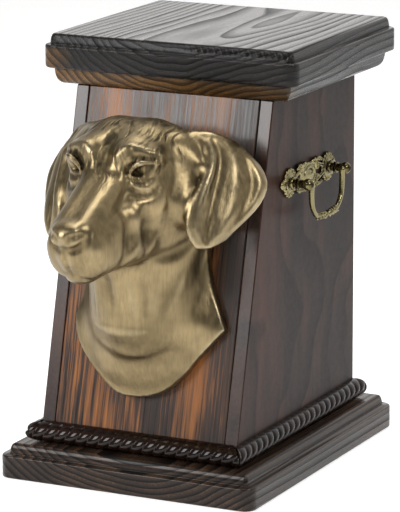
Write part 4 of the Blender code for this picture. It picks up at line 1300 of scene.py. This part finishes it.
# Folds along the ear: how far across it they lie at its root and at its tip, width, height
earFolds = (
    (0.03, 0.02, 2.6, 1.6),
    (0.19, 0.17, 2.8, -2.9),
    (0.42, 0.46, 4.6, 1.5),
    (0.62, 0.70, 3.4, -1.4),
    (0.82, 0.88, 4.0, 1.2),
)


def atHead(place, side=1):
    # panel coordinates of a place on the head, mirrored where side is -1
    s, f, t = place
    return np.array(head["bridge"]) + np.array([side * s, f, t]) @ headAxes


def modelHead(clay):
    for side in (1, -1):
        for _, centre, radii, blend in headBalls:
            clay.ball(atHead(centre, side), radii, headAxes, blend)
    clay.limb((0, 172, 42), (0, 150, 8), 34, 40, 12)
    for side in (1, -1):
        for _, start, end, startRadius, endRadius, blend in headLimbs:
            clay.limb(atHead(start, side), atHead(end, side), startRadius, endRadius, blend)
    for side in (1, -1):
        for _, centre, radii, blend in noseBalls:
            clay.ball(atHead(centre, side), radii, headAxes, blend)


def modelNeck(clay):
    clay.limb((0, 150, 26), (0, 92, 3), 35, 38, 8)
    clay.limb((0, 134, 40), (0, 88, 24), 22, 17, 10)
    outline = [*smoothCourse(bustSide, 12), *smoothCourse(bustFoot, 40)[1:]]
    clay.slab(outline, head["bustRim"], head["bustRise"], head["bustRun"], 9)
    clay.ball((0, 62, 6), (30, 16, 12), flatAxes, 8)


def modelEyes(clay):
    for side in (1, -1):
        centre, radii, blend = eyeSocket
        clay.ball(atHead(centre, side), radii, headAxes, blend, carve=True)
        centre, radii, blend = eyeball
        clay.ball(atHead(centre, side), radii, headAxes, blend)
        for rim in lids:
            course = smoothCourse(rim, 11)
            placed = [[(*atHead(point[:3], side), point[3])] for point in course]
            clay.sheet(np.array(placed), 1.2)


def modelFolds(clay):
    for side in (1, -1):
        for _, course, width, height in strokes:
            placed = [atHead(place, side) for place in smoothCourse(course, 3 * len(course))]
            clay.stroke(placed, width, height)
    for _, course, width, height in middleStrokes:
        clay.stroke([atHead(place) for place in smoothCourse(course, 9)], width, height)
    for _, course, width, height in neckStrokes:
        clay.stroke(smoothCourse(course, 9), width, height)


def modelEars(clay, across=21, along=9):
    ribs = np.array([smoothCourse(rib, along) for rib in earRibs])
    rows = np.array([smoothCourse(ribs[:, i], across) for i in range(along)])
    for side in (1, -head["leftEarTuck"]):
        # the left ear hangs swung a little forward
        swing = head["leftEarSwing"] if side < 0 else 0
        hung = rows + (rows[..., :1] - earHinge) * np.array((0, swing, 0, 0))
        placed = [[(*atHead(point[:3], side), point[3]) for point in row] for row in hung]
        clay.sheet(np.array(placed), 4)
        for root, tip, width, height in earFolds:
            shares = np.linspace(root, tip, along)
            course = [row[round(share * (across - 1))] + (5, 1, 3, 0) for row, share in zip(hung, shares)]
            clay.stroke([atHead(point[:3], side) for point in course[1:]], width, height)


def makeHead():
    clay = Clay((-90, 28, -5), (92, 234, 142), head["grain"])
    modelHead(clay)
    modelNeck(clay)
    modelEyes(clay)
    modelFolds(clay)
    modelEars(clay, across=33, along=13)
    out = clay.axes[2][None, None, :].astype(np.float32)
    clay.depth = np.maximum(clay.depth, 0.35 - out)
    points, faces, recess = clay.skin()
    unit = head["height"] / head["parts"]
    foot = np.array([0, head["foot"] * (1 - 1000 * unit), 0])
    toWorld = np.array([(1, 0, 0), (0, math.sin(tilt), math.cos(tilt)), (0, -math.cos(tilt), math.sin(tilt))])
    placed = (points * unit + foot) @ toWorld + np.array([0, urn["frontFootY"], urn["baseThickness"]])
    mesh = skinMesh("dogHead", placed, faces, recess)
    return addPiece("dogHead", mesh, bronze, "urn", ["dog_head_relief"], 80)


makeHead()
print("head made")

# Side handles

handle = {
    "y": 0.015,
    "z": 0.190,
    "spacing": 0.058,
    "reach": 0.014,
    "neck": 0.0026,
    "collar": 0.0042,
    "ball": 0.0038,
    "pin": 0.0011,
    "pinReach": 0.0026,
    "drop": 0.025,
    "wire": 0.0019,
    "barShare": 0.60,
    "plateLength": 0.084,
    "plate": 0.0022,
    "crown": 0.0006,
    "plateGrain": 0.36,
    "bailGrain": 0.34,
}


def spunMesh(name, profile, sides=28):
    points, faces = [], []
    for x, radius in profile:
        for i in range(sides):
            a = 2 * math.pi * i / sides
            points.append((x, radius * math.cos(a), radius * math.sin(a)))
    for r in range(len(profile) - 1):
        for i in range(sides):
            j = (i + 1) % sides
            faces.append((r * sides + i, r * sides + j, (r + 1) * sides + j, (r + 1) * sides + i))
    last = (len(profile) - 1) * sides
    faces += [tuple(reversed(range(sides))), tuple(range(last, last + sides))]
    mesh = meshFrom(name, points, faces)
    widest = max(radius for _, radius in profile)
    sunk = [0.6 * (1 - radius / widest) - 0.25 for _, radius in profile for _ in range(sides)]
    mark = mesh.attributes.new("recess", "FLOAT", "POINT")
    mark.data.foreach_set("value", sunk)
    return mesh


def placeOnSide(mesh, side, shift):
    # from the handle's own axes (out, along, up) to the side of the box it is screwed to
    out = 1 if side == "Right" else -1
    for vert in mesh.vertices:
        x, y, z = (a + b for a, b in zip(vert.co, shift))
        vert.co = (out * (urn["halfWidth"] + x), handle["y"] + out * y, handle["z"] + z)


def makePost(side, place, along):
    h = handle
    wall = h["plate"] + h["crown"] + urn["gap"]
    neckEnd = h["reach"] - h["ball"] * 0.7
    middle = (wall + neckEnd) / 2
    profile = [(wall, h["collar"]), (wall + 0.0009, h["collar"]), (wall + 0.0013, h["collar"] * 0.94)]
    profile += [(wall + 0.0017, h["neck"]), (middle - 0.0014, h["neck"] * 0.95)]
    for ring in (-0.0007, 0.0007):
        profile += [(middle + ring - 0.0006, h["neck"]), (middle + ring - 0.0003, h["collar"] * 0.86)]
        profile += [(middle + ring + 0.0003, h["collar"] * 0.86), (middle + ring + 0.0006, h["neck"])]
    profile += [(neckEnd - 0.0003, h["neck"])]
    for i in range(4, 24):
        angle = math.pi * i / 24
        profile.append((h["reach"] - h["ball"] * math.cos(angle), h["ball"] * math.sin(angle)))
    name = f"post{side}{place}"
    mesh = spunMesh(name, profile)
    placeOnSide(mesh, side, (0, along * h["spacing"] / 2, 0))
    node = f"handle_post_{side.lower()}_{place.lower()}"
    return addPiece(name, mesh, brass, "urn", [node], 50)


def ringOfRods(clay, out, centre, across, up, rod, count):
    # short rods end to end round an oval that lies flat on the plate
    for i in range(count):
        a, b = (2 * math.pi * k / count for k in (i, i + 1))
        start = (out, centre + across * math.cos(a), up * math.sin(a))
        end = (out, centre + across * math.cos(b), up * math.sin(b))
        clay.limb(start, end, rod, rod, 0.3)


def makePlate(side):
    h = handle
    half = h["plateLength"] * 500
    post = h["spacing"] * 500
    flat = h["plate"] * 1000
    clay = Clay((-1, -half - 3, -13), (6, half + 3, 13), h["plateGrain"])
    for end in (1, -1):
        centre = end * post
        clay.ball((0.3, centre, 0), (flat * 0.8, 8.4, 8.4), flatAxes, 0.4)
        for i in range(18):
            a = 2 * math.pi * i / 18
            inner = (0.9, centre + 5.2 * math.cos(a), 5.2 * math.sin(a))
            outer = (0.9, centre + 8.6 * math.cos(a), 8.6 * math.sin(a))
            clay.limb(inner, outer, 0.6, 1.25, 0.35)
        ringOfRods(clay, 1.6, centre, 5.0, 5.0, 0.65, 40)
        clay.ball((0.6, end * (half - 4.2), 0), (1.9, 4.2, 3.2), flatAxes, 0.8)
        for up in (1, -1):
            clay.ball((1.2, end * (half - 5.5), up * 3.4), (1.7, 1.7, 1.7), flatAxes, 0.4)
            previous = None
            for i in range(22):
                angle = 0.5 + i * 0.27
                radius = 5.6 - 0.22 * i
                across = 13.5 + radius * math.cos(angle)
                height = 4.4 + radius * math.sin(angle) * 0.9
                spot = np.array((1.3, end * across, up * height))
                if previous is not None:
                    clay.limb(previous, spot, 0.95, 0.9, 0.3)
                previous = spot
            clay.limb((0.8, end * 5.5, up * 7.8), (0.8, end * 21, up * 2.4), 1.3, 1.5, 0.8)
            for i in range(4):
                bead = (1.5, end * (7.5 + 3.3 * i), up * (8.9 - 0.55 * i))
                clay.ball(bead, (1.5, 1.35, 1.25), flatAxes, 0.3)
    clay.ball((0.3, 0, 0), (1.9, 12.5, 8.2), flatAxes, 0.8)
    ringOfRods(clay, 1.7, 0, 7.6, 5.6, 0.75, 44)
    clay.ball((1.1, 0, 0), (1.9, 4.6, 3.2), flatAxes, 0.4)
    out = clay.axes[0][:, None, None].astype(np.float32)
    clay.depth = np.maximum(clay.depth, 0.35 - out)
    points, faces, recess = clay.skin(1)
    name = f"plate{side}"
    mesh = skinMesh(name, points / 1000, faces, recess)
    placeOnSide(mesh, side, (0, 0, 0))
    return addPiece(name, mesh, brass, "urn", [f"handle_plate_{side.lower()}"], 60)


def makeBail(side):
    h = handle
    arm = h["spacing"] * 500 - (h["ball"] + urn["gap"]) * 1000 - 1.6
    bar = arm * h["barShare"]
    drop = h["drop"] * 1000
    wire = h["wire"] * 1000
    clay = Clay((-5, -arm - 6, -drop - 5), (5, arm + 6, 5), h["bailGrain"])
    for end in (1, -1):
        bends = (
            (0, end * arm, 0), (0, end * (arm + 0.4), -drop * 0.3), (0, end * (arm - 1.6), -drop * 0.68),
            (0, end * bar, -drop * 0.95), (0, 0, -drop),
        )
        course = smoothCourse(bends, 26)
        for i, (a, b) in enumerate(zip(course[:-1], course[1:])):
            clay.limb(a, b, wire * (1.02 - 0.013 * i), wire * (1.01 - 0.013 * i), 0.2)
        clay.ball((0, end * arm, 0), (2.25, 1.45, 2.45), flatAxes, 0.5)
        for share, size in ((0.18, 1.0), (0.42, 1.15), (0.66, 1.15), (0.9, 0.95)):
            spot = end * bar * share
            lower = -drop * (1.0 - 0.05 * share)
            clay.ball((0, spot, lower), (2.1 * size, 1.2, 2.2 * size), flatAxes, 0.3)
            for i in range(5):
                a = 2 * math.pi * (i + 0.5 * (share > 0.4)) / 5
                leaf = (1.9 * math.cos(a), spot + end * 0.9, lower + 1.9 * math.sin(a))
                clay.ball(leaf, (0.75, 1.3, 0.75), flatAxes, 0.25)
        pin = h["pin"] * 1000
        tip = arm + 1.6 + h["pinReach"] * 1000
        clay.limb((0, end * arm, 0), (0, end * tip, 0), pin, pin, 0.1)
    points, faces, recess = clay.skin(1)
    name = f"bail{side}"
    mesh = skinMesh(name, points / 1000, faces, recess)
    placeOnSide(mesh, side, (h["reach"], 0, 0))
    node = f"handle_bail_{side.lower()}"
    return addPiece(name, mesh, brass, f"bail_{side.lower()}", [node], 60)


for sideName in ("Right", "Left"):
    outward = 1 if sideName == "Right" else -1
    makePlate(sideName)
    makePost(sideName, "Front", -outward)
    makePost(sideName, "Rear", outward)
    makeBail(sideName)
print("handles made")

# Floor, light and camera


def aimed(thing, target):
    way = Vector(target) - thing.location
    thing.rotation_euler = way.to_track_quat("-Z", "Y").to_euler()


studio = {
    "floor": (0.90, 0.90, 0.90),
    "floorGlow": 0.50,
    "sky": {"colour": (1.0, 0.985, 0.97), "front": 0.14, "back": 1.05, "seen": 1.0},
    "lights": (
        ("softboxLeft", (-0.64, -1.22, 0.80), (0, -0.03, 0.15), 0.72, 0.72, 14.0),
        ("softboxRight", (1.25, -0.55, 1.25), (0.05, 0, 0.15), 0.5, 0.5, 9.0),
        ("softboxTop", (0.0, 0.25, 1.7), (0, 0, 0.2), 0.9, 0.9, 12.0),
    ),
}


def makeStudio():
    floorMesh = meshFrom("floor", [(-6, -6, 0), (6, -6, 0), (6, 6, 0), (-6, 6, 0)], [(0, 1, 2, 3)])
    floor = bpy.data.objects.new("floor", floorMesh)
    bpy.context.scene.collection.objects.link(floor)
    plain, _, _ = newMaterial(
        "paleFloor", Base_Color=studio["floor"], Roughness=0.65, Specular_IOR_Level=0.25,
        Emission_Color=(1.0, 1.0, 1.0), Emission_Strength=studio["floorGlow"],
    )
    floorMesh.materials.append(plain)
    for name, place, target, width, height, watts in studio["lights"]:
        light = bpy.data.lights.new(name, "AREA")
        light.shape = "RECTANGLE"
        light.size, light.size_y = width, height
        light.energy = watts
        lamp = bpy.data.objects.new(name, light)
        bpy.context.scene.collection.objects.link(lamp)
        lamp.location = place
        aimed(lamp, target)
    world = bpy.data.worlds.new("studio")
    world.use_nodes = True
    # brighter behind the urn than in front of it, and plain white where the camera sees it
    tree = world.node_tree
    sky = studio["sky"]
    along = partsOf(tree, put(tree, "ShaderNodeTexCoord").outputs["Generated"])[1]
    level = remap(tree, along, 0.0, 0.85, sky["front"], sky["back"])
    seen = put(tree, "ShaderNodeLightPath").outputs["Is Camera Ray"]
    unseen = times(tree, minus(tree, 1.0, seen), level)
    shown = plus(tree, times(tree, seen, sky["seen"]), unseen)
    tree.nodes["Background"].inputs[0].default_value = (*sky["colour"], 1)
    tree.links.new(shown, tree.nodes["Background"].inputs[1])
    bpy.context.scene.world = world
    bpy.context.scene.view_settings.view_transform = "Standard"


view = {
    "lens": 240.75,
    "place": (0.97264, -1.95082, 0.64328),
    "target": (0, 0, 0.132),
    "rollDegrees": -0.24,
}


def makeCamera():
    camera = bpy.data.objects.new("camera", bpy.data.cameras.new("camera"))
    bpy.context.scene.collection.objects.link(camera)
    camera.data.lens = view["lens"]
    camera.data.sensor_width = 36
    camera.location = view["place"]
    aimed(camera, view["target"])
    camera.rotation_euler.rotate_axis("Z", math.radians(view["rollDegrees"]))
    camera.data.clip_end = 50
    bpy.context.scene.camera = camera


makeStudio()
makeCamera()
print("studio made")
